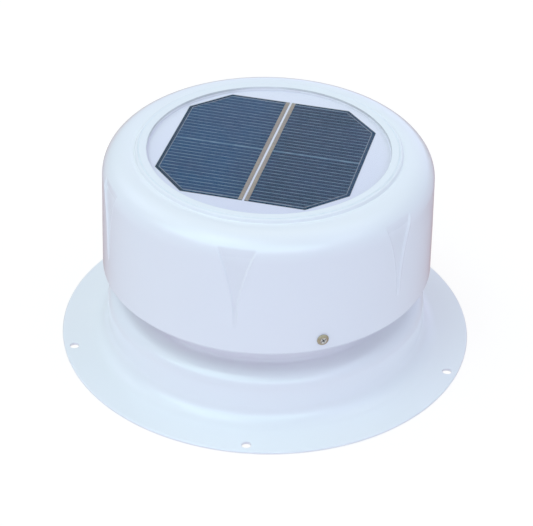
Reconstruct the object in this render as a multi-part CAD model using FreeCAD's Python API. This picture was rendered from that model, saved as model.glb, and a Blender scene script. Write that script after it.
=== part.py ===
import FreeCAD, Part
import math
import os

# Round solar-powered roof ventilator, millimetres, +Z up.
# Origin: centre of the flange's underside. A bell with a roof flange carries a rain hood with a solar
# panel in its top. A motor on a three-arm bracket in the bell's neck turns a five-blade impeller.

# ---- driving dimensions ------------------------------------------------------------------------------
WALL = 2.2                    # wall thickness of the white mouldings

FLANGE_R = 136.6              # outside radius of the roof flange
FLANGE_HOLES = 5
FLANGE_HOLE_R = 3.0
FLANGE_HOLE_CIRCLE = 130.0
FLANGE_HOLE_START = -94.4     # direction of the hole nearest the front

BELL_R = 105.7                # outside radius of the upright wall
COVE_RADIUS = 12.0            # outside radius of the hollow curve at the foot of the wall
SHOULDER_RADIUS = 9.7         # outside radius of the rounded shoulder
SHOULDER_Z = 35.7             # top of the shoulder
NECK_R = 88.4                 # outside radius of the neck
NECK_FILLET = 6.0             # outside radius of the curve from shoulder to neck
NECK_TOP = 78.0

HOOD_BOTTOM_Z = 56.7
HOOD_BOTTOM_R = 108.2         # outside radius at the open lower edge
HOOD_TOP_R = 106.9            # outside radius where the domed edge starts
HOOD_EDGE_RADIUS = 16.3       # radius of the domed edge
HOOD_TOP_Z = 139.0            # flat ring inside the domed edge

PETALS = 6
PETAL_START = -100.0
PETAL_TIP_Z = 74.0
PETAL_TIP_WIDTH = 0.4
PETAL_TOP_Z = 131.0           # where the recess runs out on the domed edge
PETAL_HALF_WIDTH = 12.2       # at the top
PETAL_DEPTH = 1.0

PANEL_FLOOR_Z = 136.0         # floor of the panel pocket
POCKET_R = 83.9
LAND_R = 85.2                 # outer edge of the raised land round the pocket
LAND_Z = 140.9
GROOVE_R = 86.0               # foot of the land, where the flat ring begins
SUBSTRATE_R = 83.0
SUBSTRATE_T = 1.6
CELL_LENGTH = 125.0           # along the gap between the two halves
CELL_WIDTH = 125.8            # across both halves and the gap
CELL_GAP = 1.4
GAP_MIDDLE = 0.6              # the halves aren't cut equal, so the gap lies this far off the middle
CELL_CHAMFER = 23.0
CELL_T = 0.25
CELL_TURN = -13.6             # the cells sit turned in the pocket
CELL_OFFSET = (-1.3, 1.8)     # and slightly off centre
RIBBON_W = 2.45
RIBBON_T = 0.2
RIBBON_INSET = 0.4            # ribbons stop this far inside the cells' ends
FILM_T = 0.5
WINDOW_T = 0.5
BEZEL_INNER_R = 78.2
BEZEL_OUTER_R = 83.1
BEZEL_TOP_Z = 141.2
BEZEL_SLOPE = 0.3             # its top falls this much towards the window
WINDOW_R = 78.1               # film and window sit inside the bezel

COVER_SCREWS = 3
COVER_SCREW_START = -70.7
COVER_SCREW_Z = 64.8
LUG_END_R = 105.3

SHAFT_R = 1.5
SHAFT_TOP_Z = 111.2
SHAFT_BOTTOM_Z = 53.2
BUSH_BORE_R = 1.54            # running clearance of 0.04 on the shaft
PRESS_BORE_R = 1.51           # pieces fixed on the shaft
BUSH_R = 3.0

IMPELLER_R = 82.4
IMPELLER_BLADES = 5
IMPELLER_MID_Z = 65.0
HUB_R = 17.0
HUB_BOTTOM_Z = 56.6
HUB_TOP_Z = 74.4
NUT_FLATS = 5.5
NUT_H = 2.4

BRACKET_T = 3.0               # the bracket's ring, arms and centre plate
BRACKET_ARMS = 3
BRACKET_EAR_R = 92.0          # circle of the bracket screws
BRACKET_SCREW_OFFSET = 60.0   # turned from the cover screws

CAN_R = 18.0
CAN_SHEET = 1.0
CAN_TOP_Z = 108.0
MOTOR_SCREW_CIRCLE = 12.5
MOTOR_BOSS_R = 4.0
MAGNET_INNER_R = 13.9
CORE_R = 13.3
CORE_LENGTH = 15.0
COIL_OVERHANG = 2.3
COMMUTATOR_R = 3.6
COMMUTATOR_INNER_R = 2.3
COMMUTATOR_LENGTH = 2.9
BRUSH_GAP = 0.05              # between brush and commutator
TERMINAL_X = 6.45
TERMINAL_TOP = 115.5

PIN_R = 0.5                   # pins through the panel's board
LEAD_R = 0.9
LEAD_Y = -58.0                # where the leads pass the hood, in the cells' frame
GROMMET_NECK_R = 5.6
GROMMET_FLANGE_R = 7.2
GROMMET_FLANGE_T = 1.2
CONNECTOR_Z = 122.0
CONNECTOR_BACK_Y = -46.0
CONNECTOR_MID_Y = -35.0
CONNECTOR_FRONT_Y = -25.0

GUARD_BOTTOM_Z = 42.6
GUARD_TOP_Z = 45.0
GUARD_R = 85.8
GUARD_SCREW_CIRCLE = 82.4
GUARD_RING_PITCH = 9.0

# ---- derived places ----------------------------------------------------------------------------------
SUBSTRATE_TOP = PANEL_FLOOR_Z + SUBSTRATE_T
FILM_TOP = SUBSTRATE_TOP + FILM_T
WINDOW_TOP = FILM_TOP + WINDOW_T
NECK_BORE_R = NECK_R - WALL
BRACKET_TOP = NECK_TOP + BRACKET_T
LEAD_X = 2.1                  # half the distance between the two leads
BRACKET_SCREW_START = COVER_SCREW_START + BRACKET_SCREW_OFFSET
FRONT_BUSH_BOTTOM = BRACKET_TOP - 1.8
FRONT_BUSH_TOP = BRACKET_TOP + 2.5
CORE_BOTTOM = BRACKET_TOP + 6.0
CORE_TOP = CORE_BOTTOM + CORE_LENGTH
COMMUTATOR_BOTTOM = CORE_TOP + COIL_OVERHANG + 0.3
COMMUTATOR_TOP = COMMUTATOR_BOTTOM + COMMUTATOR_LENGTH

ORIGIN = FreeCAD.Vector(0, 0, 0)
X_AXIS = FreeCAD.Vector(1, 0, 0)
Y_AXIS = FreeCAD.Vector(0, 1, 0)
UP = FreeCAD.Vector(0, 0, 1)
TOUCH = 1e-6


# ---- helpers -----------------------------------------------------------------------------------------
class Arc:
    """A circular stretch of a section in the r-z plane, with angles in degrees from +r."""

    def __init__(self, r, z, radius, start, end):
        self.angles = (start, (start + end) / 2, end)
        self.r, self.z, self.radius = r, z, radius

    def points(self):
        turns = [math.radians(a) for a in self.angles]
        return [
            FreeCAD.Vector(self.r + self.radius * math.cos(t), 0, self.z + self.radius * math.sin(t))
            for t in turns
        ]


def section(path):
    """Closed face in the r-z plane from points and arcs, joined up by straight edges."""
    edges = []
    first = None
    last = None
    for item in path:
        arc = item.points() if isinstance(item, Arc) else None
        start = arc[0] if arc else FreeCAD.Vector(item[0], 0, item[1])
        if first is None:
            first = start
        elif last.distanceToPoint(start) > TOUCH:
            edges.append(Part.makeLine(last, start))
        if arc:
            edges.append(Part.Arc(*arc).toShape())
        last = arc[2] if arc else start
    if last.distanceToPoint(first) > TOUCH:
        edges.append(Part.makeLine(last, first))
    return Part.Face(Part.Wire(edges))


def spin(path):
    """Solid of revolution about Z."""
    return section(path).revolve(ORIGIN, UP, 360)


def tube(outer, inner, bottom, top):
    return spin([(inner, bottom), (outer, bottom), (outer, top), (inner, top)])


def rod(radius, bottom, top, x=0.0, y=0.0):
    return Part.makeCylinder(radius, top - bottom, FreeCAD.Vector(x, y, bottom))


def block(x, y, z):
    """Box from three (low, high) pairs."""
    return Part.makeBox(x[1] - x[0], y[1] - y[0], z[1] - z[0], FreeCAD.Vector(x[0], y[0], z[0]))


def prism(points, bottom, top):
    """Upright prism on a polygon of (x, y) points."""
    corners = [FreeCAD.Vector(x, y, bottom) for x, y in points]
    face = Part.Face(Part.makePolygon(corners + corners[:1]))
    return face.extrude(FreeCAD.Vector(0, 0, top - bottom))


def turned(shape, angle):
    copy = shape.copy()
    copy.rotate(ORIGIN, UP, angle)
    return copy


def moved(shape, x=0.0, y=0.0, z=0.0):
    copy = shape.copy()
    copy.translate(FreeCAD.Vector(x, y, z))
    return copy


def around(shape, count, start=0.0):
    """Copies of a shape, evenly turned about Z."""
    return [turned(shape, start + 360.0 * k / count) for k in range(count)]


def joined(shapes):
    return shapes[0].fuse(shapes[1:]).removeSplitter()


def save(name, *shapes):
    """One node: a solid, or a group of separate solids."""
    solids = [solid for shape in shapes for solid in shape.Solids]
    shape = solids[0] if len(solids) == 1 else Part.makeCompound(solids)
    shape.exportStep(os.path.join("parts", name + ".step"))


def pan_screw(head_r, head_h, shank_r, length):
    """Cross-recessed pan head screw, head up, underside of the head at z = 0."""
    crown = head_h * 0.55
    body = spin([
        (0, -length),
        (shank_r * 0.4, -length),
        (shank_r, -length + shank_r),
        (shank_r, 0),
        (head_r, 0),
        (head_r, head_h - crown),
        Arc(head_r - crown, head_h - crown, crown, 0, 90),
        (0, head_h),
    ])
    floor = head_h * 0.3
    reach = head_r * 0.58
    wing = head_r * 0.13
    bar = block((-reach, reach), (-wing, wing), (floor, head_h + 1))
    centre = Part.makeCone(wing, wing * 2.2, head_h - floor, FreeCAD.Vector(0, 0, floor))
    return body.cut(joined([bar, turned(bar, 90), centre]))


# ---- white mouldings ---------------------------------------------------------------------------------
def hood_outer_r(z):
    """Outside radius of the hood's skirt at a height on its straight stretch."""
    straight = HOOD_TOP_Z - HOOD_EDGE_RADIUS - HOOD_BOTTOM_Z
    return HOOD_BOTTOM_R + (HOOD_TOP_R - HOOD_BOTTOM_R) * (z - HOOD_BOTTOM_Z) / straight


def bell_shell():
    """Flange, cove, wall, shoulder and neck as one wall of constant thickness."""
    rim = WALL / 2
    cove_z = WALL + COVE_RADIUS
    shoulder_r = BELL_R - SHOULDER_RADIUS
    shoulder_z = SHOULDER_Z - SHOULDER_RADIUS
    neck_r = NECK_R + NECK_FILLET
    neck_z = SHOULDER_Z + NECK_FILLET
    cove_r = BELL_R + COVE_RADIUS
    return spin([
        Arc(FLANGE_R - rim, rim, rim, -90, 90),
        Arc(cove_r, cove_z, COVE_RADIUS, -90, -180),
        Arc(shoulder_r, shoulder_z, SHOULDER_RADIUS, 0, 90),
        Arc(neck_r, neck_z, NECK_FILLET, -90, -180),
        Arc(NECK_R - WALL / 4, NECK_TOP - WALL / 4, WALL / 4, 0, 90),
        (NECK_BORE_R, NECK_TOP),
        Arc(neck_r, neck_z, NECK_FILLET + WALL, -180, -90),
        Arc(shoulder_r, shoulder_z, SHOULDER_RADIUS - WALL, 90, 0),
        Arc(cove_r, cove_z, COVE_RADIUS + WALL, -180, -90),
    ])


def cover_lug():
    """Boss on the outside of the neck that takes a cover screw, with a gusset below it."""
    radius = 6.0
    root = NECK_R - WALL / 2
    boss = Part.makeCylinder(radius, LUG_END_R - root, FreeCAD.Vector(root, 0, COVER_SCREW_Z), X_AXIS)
    low = COVER_SCREW_Z - radius - 6.0
    half = WALL / 2
    corners = [(root, low), (root, COVER_SCREW_Z), (LUG_END_R - 2, COVER_SCREW_Z), (LUG_END_R - 2, low + 5)]
    points = [FreeCAD.Vector(x, -half, z) for x, z in corners]
    gusset = Part.Face(Part.makePolygon(points + points[:1])).extrude(FreeCAD.Vector(0, WALL, 0))
    return boss.fuse(gusset)


def bracket_post():
    """Boss outside the neck for a bracket screw."""
    radius = 4.2
    web = 2.6
    bottom = NECK_TOP - 17.0
    post = rod(radius, bottom, NECK_TOP, BRACKET_EAR_R)
    return post.fuse(block((NECK_R - WALL / 2, BRACKET_EAR_R), (-web, web), (bottom, NECK_TOP)))


def guard_post():
    """Boss inside the neck for a guard screw."""
    radius = 3.4
    top = GUARD_TOP_Z + 8.0
    post = rod(radius, GUARD_TOP_Z, top, GUARD_SCREW_CIRCLE)
    return post.fuse(block((GUARD_SCREW_CIRCLE, NECK_R - WALL / 2), (-radius, radius), (GUARD_TOP_Z, top)))


def base_flange():
    pilot_r = 2.0
    small_pilot_r = 1.25
    shape = joined(
        [bell_shell()]
        + around(cover_lug(), COVER_SCREWS, COVER_SCREW_START)
        + around(bracket_post(), BRACKET_ARMS, BRACKET_SCREW_START)
        + around(guard_post(), BRACKET_ARMS, BRACKET_SCREW_START)
    )
    cover_pilot = Part.makeCylinder(pilot_r, 14, FreeCAD.Vector(LUG_END_R - 13, 0, COVER_SCREW_Z), X_AXIS)
    bracket_pilot = rod(small_pilot_r, NECK_TOP - 13, NECK_TOP + 1, BRACKET_EAR_R)
    guard_pilot = rod(small_pilot_r, GUARD_TOP_Z - 1, GUARD_TOP_Z + 7, GUARD_SCREW_CIRCLE)
    fixing = rod(FLANGE_HOLE_R, -1, WALL + 1, FLANGE_HOLE_CIRCLE)
    return shape.cut(
        around(cover_pilot, COVER_SCREWS, COVER_SCREW_START)
        + around(bracket_pilot, BRACKET_ARMS, BRACKET_SCREW_START)
        + around(guard_pilot, BRACKET_ARMS, BRACKET_SCREW_START)
        + around(fixing, FLANGE_HOLES, FLANGE_HOLE_START)
    )


def hood_shell():
    """Skirt, domed edge, land and panel pocket."""
    lip = WALL / 2
    edge_r = HOOD_TOP_R - HOOD_EDGE_RADIUS
    edge_z = HOOD_TOP_Z - HOOD_EDGE_RADIUS
    groove = 0.5
    soft = 1.2
    ceiling = PANEL_FLOOR_Z - WALL
    return spin([
        (0, PANEL_FLOOR_Z),
        (0, ceiling),
        (POCKET_R + WALL, ceiling),
        (POCKET_R + WALL, HOOD_TOP_Z - WALL),
        Arc(edge_r, edge_z, HOOD_EDGE_RADIUS - WALL, 90, 0),
        Arc(HOOD_BOTTOM_R - lip, HOOD_BOTTOM_Z + lip, lip, -180, 0),
        Arc(edge_r, edge_z, HOOD_EDGE_RADIUS, 0, 90),
        (GROOVE_R + 2.0, HOOD_TOP_Z),
        (GROOVE_R, HOOD_TOP_Z - groove),
        Arc(LAND_R - soft, LAND_Z - soft, soft, 0, 90),
        (POCKET_R, LAND_Z),
        (POCKET_R, PANEL_FLOOR_Z),
    ])


def petal_cut():
    """Tulip-shaped cutter, pointing along +X: two arcs that leave a narrow tip upright."""
    start = PETAL_TIP_WIDTH / 2
    height = PETAL_TOP_Z - PETAL_TIP_Z
    width = PETAL_HALF_WIDTH - start
    radius = (height ** 2 + width ** 2) / (2 * width)
    sweep = math.asin(height / radius) / 2
    bulge = radius * (1 - math.cos(sweep))
    near = HOOD_TOP_R - 20

    def side(sign):
        tip = FreeCAD.Vector(near, sign * start, PETAL_TIP_Z)
        mid = FreeCAD.Vector(near, sign * (start + bulge), PETAL_TIP_Z + radius * math.sin(sweep))
        top = FreeCAD.Vector(near, sign * PETAL_HALF_WIDTH, PETAL_TOP_Z)
        return Part.Arc(tip, mid, top).toShape()

    left = side(1)
    right = side(-1)
    lid = Part.makeLine(left.Vertexes[1].Point, right.Vertexes[1].Point)
    foot = Part.makeLine(right.Vertexes[0].Point, left.Vertexes[0].Point)
    face = Part.Face(Part.Wire([left, lid, right, foot]))
    return face.extrude(FreeCAD.Vector(HOOD_BOTTOM_R - near + 5, 0, 0))


def petal_skin():
    """What the recesses may take away: a skin on the skirt that runs out on the domed edge."""
    edge_r = HOOD_TOP_R - HOOD_EDGE_RADIUS
    edge_z = HOOD_TOP_Z - HOOD_EDGE_RADIUS
    top_r = edge_r + math.sqrt(HOOD_EDGE_RADIUS ** 2 - (PETAL_TOP_Z - edge_z) ** 2)
    far = HOOD_BOTTOM_R + 4
    below = PETAL_TIP_Z - 5
    return spin([
        (hood_outer_r(below) - PETAL_DEPTH, below),
        (far, below),
        (far, PETAL_TOP_Z),
        (top_r, PETAL_TOP_Z),
        (HOOD_TOP_R - PETAL_DEPTH, edge_z),
    ])


def hood_cover():
    clearance_r = 2.3
    hole = Part.makeCylinder(clearance_r, 12, FreeCAD.Vector(LUG_END_R - 3, 0, COVER_SCREW_Z), X_AXIS)
    recess = petal_cut().common(petal_skin())
    ceiling = PANEL_FLOOR_Z - WALL
    lead_hole = turned(rod(GROMMET_NECK_R, ceiling - 1, PANEL_FLOOR_Z + 1, 0, LEAD_Y), CELL_TURN)
    return hood_shell().cut(
        around(recess, PETALS, PETAL_START)
        + around(hole, COVER_SCREWS, COVER_SCREW_START)
        + [lead_hole]
    )


def cover_screws():
    """Machine screws driven inwards through the skirt into the lugs."""
    screw = pan_screw(head_r=3.9, head_h=2.3, shank_r=1.95, length=12.0)
    screw.rotate(ORIGIN, Y_AXIS, 90)
    seat = hood_outer_r(COVER_SCREW_Z) + 0.1
    return around(moved(screw, x=seat, z=COVER_SCREW_Z), COVER_SCREWS, COVER_SCREW_START)


# ---- solar panel -------------------------------------------------------------------------------------
def panel_bezel():
    """Ring round the window that stands on the panel's board."""
    soft = 0.5
    return spin([
        (BEZEL_INNER_R, SUBSTRATE_TOP),
        (BEZEL_OUTER_R, SUBSTRATE_TOP),
        Arc(BEZEL_OUTER_R - soft, BEZEL_TOP_Z - soft, soft, 0, 90),
        Arc(BEZEL_INNER_R + soft, BEZEL_TOP_Z - BEZEL_SLOPE - soft, soft, 90, 180),
    ])


def bezel_sealant():
    """Bead in the gap between bezel and pocket, slightly crowned."""
    middle = (BEZEL_OUTER_R + POCKET_R) / 2
    half = (POCKET_R - BEZEL_OUTER_R) / 2
    crown = half * 1.5
    spread = math.degrees(math.asin(half / crown))
    return spin([
        (BEZEL_OUTER_R, WINDOW_TOP),
        (POCKET_R, WINDOW_TOP),
        Arc(middle, LAND_Z - crown, crown, 90 - spread, 90 + spread),
    ])


def panel_place(shape):
    """Puts a shape drawn in the cells' own frame where the cells are."""
    return moved(turned(shape, CELL_TURN), *CELL_OFFSET)


def half_cell(side):
    """One half of the cell, on the side given by -1 or 1."""
    near = GAP_MIDDLE + side * CELL_GAP / 2
    far = side * CELL_WIDTH / 2
    cut = far - side * CELL_CHAMFER
    end = CELL_LENGTH / 2
    shoulder = end - CELL_CHAMFER
    outline = [(near, -end), (cut, -end), (far, -shoulder), (far, shoulder), (cut, end), (near, end)]
    return panel_place(prism(outline, SUBSTRATE_TOP, SUBSTRATE_TOP + CELL_T))


def busbar_ribbons():
    """Two tinned ribbons on the cell edges beside the gap."""
    end = CELL_LENGTH / 2 - RIBBON_INSET
    bottom = SUBSTRATE_TOP + CELL_T
    near = CELL_GAP / 2 + 0.05
    ribbon = block((GAP_MIDDLE + near, GAP_MIDDLE + near + RIBBON_W), (-end, end), (bottom, bottom + RIBBON_T))
    mirror = moved(ribbon, x=-2 * near - RIBBON_W)
    return [panel_place(ribbon), panel_place(mirror)]


def terminal_pins():
    """Two pins from the cells' ends down through the board."""
    top = SUBSTRATE_TOP
    bottom = PANEL_FLOOR_Z - 1.0
    return [turned(rod(PIN_R, bottom, top, side * LEAD_X, LEAD_Y), CELL_TURN) for side in (-1, 1)]


def panel_substrate():
    return rod(SUBSTRATE_R, PANEL_FLOOR_Z, SUBSTRATE_TOP).cut(terminal_pins())


def panel_encapsulant(contents):
    return rod(WINDOW_R, SUBSTRATE_TOP, FILM_TOP).cut(contents)


def panel_window():
    return rod(WINDOW_R, FILM_TOP, WINDOW_TOP)


# ---- leads -------------------------------------------------------------------------------------------
def lead_grommet():
    """Rubber grommet in the hood's ceiling with a hole for each lead."""
    ceiling = PANEL_FLOOR_Z - WALL
    body = rod(GROMMET_NECK_R, ceiling, PANEL_FLOOR_Z - 0.1)
    flange = rod(GROMMET_FLANGE_R, ceiling - GROMMET_FLANGE_T, ceiling)
    shape = moved(body.fuse(flange).removeSplitter(), y=LEAD_Y)
    holes = [
        rod(LEAD_R + 0.05, ceiling - GROMMET_FLANGE_T - 1, PANEL_FLOOR_Z + 1, side * LEAD_X, LEAD_Y)
        for side in (-1, 1)
    ]
    return turned(shape.cut(holes), CELL_TURN)


def cable(points):
    """Round cable through the points: straight at both ends, a smooth curve between."""
    start, bend, *_ = [FreeCAD.Vector(*p) for p in points]
    *_, unbend, end = [FreeCAD.Vector(*p) for p in points]
    curve = Part.BSplineCurve()
    curve.interpolate(
        Points=[FreeCAD.Vector(*p) for p in points[1:-1]],
        InitialTangent=(bend - start).normalize(),
        FinalTangent=(end - unbend).normalize(),
    )
    path = Part.Wire([Part.makeLine(start, bend), curve.toShape(), Part.makeLine(unbend, end)])
    ring = Part.Wire([Part.Circle(start, (bend - start), LEAD_R).toShape()])
    sweep = Part.BRepOffsetAPI.MakePipeShell(path)
    sweep.add(ring)
    sweep.build()
    sweep.makeSolid()
    return turned(sweep.shape(), CELL_TURN)


def lead(side):
    """Panel-side and motor-side lengths of one lead, on the side given by -1 or 1."""
    x = side * LEAD_X
    top = PANEL_FLOOR_Z - 1.1
    below = PANEL_FLOOR_Z - WALL - GROMMET_FLANGE_T - 0.5
    panel_side = cable([
        (x, LEAD_Y, top),
        (x, LEAD_Y, below),
        (x, CONNECTOR_BACK_Y - 3, CONNECTOR_Z),
        (x, CONNECTOR_BACK_Y, CONNECTOR_Z),
    ])
    motor_side = cable([
        (x, CONNECTOR_FRONT_Y, CONNECTOR_Z),
        (x, CONNECTOR_FRONT_Y + 3, CONNECTOR_Z),
        (side * TERMINAL_X, 0, TERMINAL_TOP + 3),
        (side * TERMINAL_X, 0, TERMINAL_TOP),
    ])
    return [panel_side, motor_side]


def connector_plug():
    """Male housing with a latch rib; it reaches into the socket."""
    z = CONNECTOR_Z
    body = block((-5, 5), (CONNECTOR_BACK_Y, CONNECTOR_MID_Y), (z - 3.2, z + 3.2))
    nose = block((-4, 4), (CONNECTOR_MID_Y, CONNECTOR_MID_Y + 4), (z - 2.2, z + 2.2))
    latch = block((-1.5, 1.5), (CONNECTOR_MID_Y - 8, CONNECTOR_MID_Y - 2), (z + 3.2, z + 4.4))
    return turned(joined([body, nose, latch]), CELL_TURN)


def connector_socket():
    z = CONNECTOR_Z
    body = block((-5, 5), (CONNECTOR_MID_Y, CONNECTOR_FRONT_Y), (z - 3.2, z + 3.2))
    mouth = block((-4.1, 4.1), (CONNECTOR_MID_Y - 1, CONNECTOR_MID_Y + 4.2), (z - 2.3, z + 2.3))
    return turned(body.cut(mouth), CELL_TURN)


# ---- bracket and guard -------------------------------------------------------------------------------
def motor_bracket():
    """Ring on the neck's rim, three ribbed arms, and a centre plate with a collar round the motor."""
    lip = 1.6
    arm = 4.5
    rib = 1.0
    rib_h = 5.0
    collar_r = CAN_R + 0.3
    collar_t = 2.0
    ear_r = 5.0
    inner = NECK_BORE_R - 2.6
    low, high = NECK_TOP, BRACKET_TOP
    ring = spin([
        (inner, low),
        (inner, low - 2.5),
        (inner + lip, low - 2.5),
        (inner + lip, low),
        (NECK_R, low),
        (NECK_R, high),
        (inner, high),
    ])
    spoke = joined([
        block((CAN_R, inner + 1), (-arm, arm), (low, high)),
        block((collar_r + collar_t / 2, inner + 1), (-rib, rib), (high, high + rib_h)),
    ])
    ear = rod(ear_r, low, high, BRACKET_EAR_R).fuse(
        block((NECK_R - 2, BRACKET_EAR_R), (-ear_r, ear_r), (low, high))
    )
    plate = rod(collar_r + collar_t, low, high)
    collar = tube(collar_r + collar_t, collar_r, high, high + rib_h + 2)
    body = joined(
        [ring, plate, collar]
        + around(spoke, BRACKET_ARMS, BRACKET_SCREW_START)
        + around(ear, BRACKET_ARMS, BRACKET_SCREW_START)
    )
    clearance_r = 1.6
    ear_hole = rod(clearance_r, low - 1, high + 1, BRACKET_EAR_R)
    motor_hole = rod(clearance_r, low - 1, high + 1, MOTOR_SCREW_CIRCLE)
    return body.cut(
        [rod(MOTOR_BOSS_R + 0.2, low - 1, high + 1)]
        + around(ear_hole, BRACKET_ARMS, BRACKET_SCREW_START)
        + around(motor_hole, 2, CELL_TURN)
    )


def bracket_screws():
    screw = moved(pan_screw(head_r=2.9, head_h=2.0, shank_r=1.2, length=12.0), BRACKET_EAR_R, 0, BRACKET_TOP)
    return around(screw, BRACKET_ARMS, BRACKET_SCREW_START)


def motor_screws():
    screw = pan_screw(head_r=2.7, head_h=1.9, shank_r=1.25, length=4.6)
    screw.rotate(ORIGIN, X_AXIS, 180)
    return around(moved(screw, MOTOR_SCREW_CIRCLE, 0, NECK_TOP), 2, CELL_TURN)


def inlet_guard():
    """Finger guard across the neck: rim, concentric rings and spokes."""
    bar = 1.6
    spokes = 6
    eye_r = 10.0
    rim = tube(GUARD_R, GUARD_R - 6.6, GUARD_BOTTOM_Z, GUARD_TOP_Z)
    rings = []
    radius = eye_r + GUARD_RING_PITCH
    while radius < GUARD_R - GUARD_RING_PITCH:
        rings.append(tube(radius + bar / 2, radius - bar / 2, GUARD_BOTTOM_Z, GUARD_TOP_Z))
        radius += GUARD_RING_PITCH
    spoke = block((eye_r - 1, GUARD_R - 3), (-bar * 0.75, bar * 0.75), (GUARD_BOTTOM_Z, GUARD_TOP_Z))
    body = joined(
        [rim, rod(eye_r, GUARD_BOTTOM_Z, GUARD_TOP_Z)]
        + rings
        + around(spoke, spokes, BRACKET_SCREW_START)
    )
    hole = rod(1.6, GUARD_BOTTOM_Z - 1, GUARD_TOP_Z + 1, GUARD_SCREW_CIRCLE)
    return body.cut(around(hole, BRACKET_ARMS, BRACKET_SCREW_START))


def guard_screws():
    screw = pan_screw(head_r=2.8, head_h=1.9, shank_r=1.2, length=8.0)
    screw.rotate(ORIGIN, X_AXIS, 180)
    return around(moved(screw, GUARD_SCREW_CIRCLE, 0, GUARD_BOTTOM_Z), BRACKET_ARMS, BRACKET_SCREW_START)


# ---- motor, fixed side -------------------------------------------------------------------------------
def motor_can():
    """Deep-drawn steel can with a boss for the front bush and two tapped holes."""
    corner = 1.0
    floor = BRACKET_TOP
    tapped_r = 1.3
    shell = spin([
        (BUSH_R, FRONT_BUSH_BOTTOM),
        (MOTOR_BOSS_R, FRONT_BUSH_BOTTOM),
        (MOTOR_BOSS_R, floor),
        Arc(CAN_R - corner, floor + corner, corner, -90, 0),
        (CAN_R, CAN_TOP_Z),
        (CAN_R - CAN_SHEET, CAN_TOP_Z),
        (CAN_R - CAN_SHEET, floor + CAN_SHEET * 1.2),
        (BUSH_R, floor + CAN_SHEET * 1.2),
    ])
    return shell.cut(around(rod(tapped_r, floor - 1, floor + 3, MOTOR_SCREW_CIRCLE), 2, CELL_TURN))


def motor_magnets():
    """Two arc magnets inside the can."""
    outer = CAN_R - CAN_SHEET - 0.05
    face = section([
        (MAGNET_INNER_R, CORE_BOTTOM - 1.5),
        (outer, CORE_BOTTOM - 1.5),
        (outer, CORE_TOP + 1.5),
        (MAGNET_INNER_R, CORE_TOP + 1.5),
    ])
    span = 140.0
    magnet = turned(face.revolve(ORIGIN, UP, span), -span / 2)
    return around(magnet, 2, CELL_TURN + 90)


def bush(bottom, top):
    return tube(BUSH_R, BUSH_BORE_R, bottom, top)


def motor_end_cap():
    """Moulded cap over the open end of the can, with slots for the two terminals."""
    top = CAN_TOP_Z + 2.2
    boss = 5.0
    body = spin([
        (BUSH_R, CAN_TOP_Z),
        (CAN_R, CAN_TOP_Z),
        Arc(CAN_R - 0.8, top - 0.8, 0.8, 0, 90),
        (boss, top),
        (boss, top + 1.4),
        (BUSH_R, top + 1.4),
    ])
    slot = block((TERMINAL_X - 0.22, TERMINAL_X + 0.22), (-1.25, 1.25), (CAN_TOP_Z - 1, top + 1))
    return body.cut(around(slot, 2, CELL_TURN))


def motor_brushes():
    """Two carbon blocks that run on the commutator."""
    low = COMMUTATOR_BOTTOM + 0.3
    high = COMMUTATOR_TOP - 0.2
    brush = block((COMMUTATOR_R + BRUSH_GAP, TERMINAL_X - 0.2), (-1.2, 1.2), (low, high))
    return around(brush, 2, CELL_TURN)


def motor_terminals():
    """Two springy copper strips: a brush arm inside the motor, a solder tab outside."""
    low = COMMUTATOR_BOTTOM + 0.3
    strip = block((TERMINAL_X - 0.2, TERMINAL_X + 0.2), (-1.2, 1.2), (low, TERMINAL_TOP))
    return around(strip, 2, CELL_TURN)


# ---- rotor -------------------------------------------------------------------------------------------
def motor_shaft():
    return rod(SHAFT_R, SHAFT_BOTTOM_Z, SHAFT_TOP_Z)


def pole():
    """One pole of the laminated core, along +X: a neck and an arc-shaped shoe."""
    shoe_inner = 10.9
    span = 96.0
    neck = 2.0
    face = section([
        (shoe_inner, CORE_BOTTOM),
        (CORE_R, CORE_BOTTOM),
        (CORE_R, CORE_TOP),
        (shoe_inner, CORE_TOP),
    ])
    shoe = turned(face.revolve(ORIGIN, UP, span), -span / 2)
    return shoe.fuse(block((3, shoe_inner + 1), (-neck, neck), (CORE_BOTTOM, CORE_TOP)))


def armature_core():
    hub = rod(4.4, CORE_BOTTOM, CORE_TOP)
    return joined([hub] + around(pole(), 3)).cut(rod(PRESS_BORE_R, CORE_BOTTOM - 1, CORE_TOP + 1))


def armature_windings():
    """A coil round each pole neck."""
    side = 5.0
    low = CORE_BOTTOM - COIL_OVERHANG
    high = CORE_TOP + COIL_OVERHANG
    coil = block((4.7, 10.7), (-side, side), (low, high))
    along = [e for e in coil.Edges if abs(e.tangentAt(e.FirstParameter).x) > 0.9]
    coil = coil.makeFillet(1.6, along)
    coil = coil.common(tube(10.8, 4.5, low, high))
    neck = block((0, 12), (-2.05, 2.05), (CORE_BOTTOM - 0.05, CORE_TOP + 0.05))
    return around(coil.cut(neck), 3)


def commutator_sleeve():
    return tube(COMMUTATOR_INNER_R, PRESS_BORE_R, COMMUTATOR_BOTTOM, COMMUTATOR_TOP)


def commutator_segments():
    """Three copper segments with narrow gaps."""
    face = section([
        (COMMUTATOR_INNER_R, COMMUTATOR_BOTTOM),
        (COMMUTATOR_R, COMMUTATOR_BOTTOM),
        (COMMUTATOR_R, COMMUTATOR_TOP),
        (COMMUTATOR_INNER_R, COMMUTATOR_TOP),
    ])
    return around(face.revolve(ORIGIN, UP, 112), 3, 4)


def thrust_washers():
    """Slip washers on the shaft against each bush."""
    radius = 2.6
    thick = 0.4
    gap = 0.05
    front = tube(radius, PRESS_BORE_R, FRONT_BUSH_TOP + gap, FRONT_BUSH_TOP + gap + thick)
    rear = tube(radius, PRESS_BORE_R, CAN_TOP_Z - gap - thick, CAN_TOP_Z - gap)
    return [front, rear]


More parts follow.
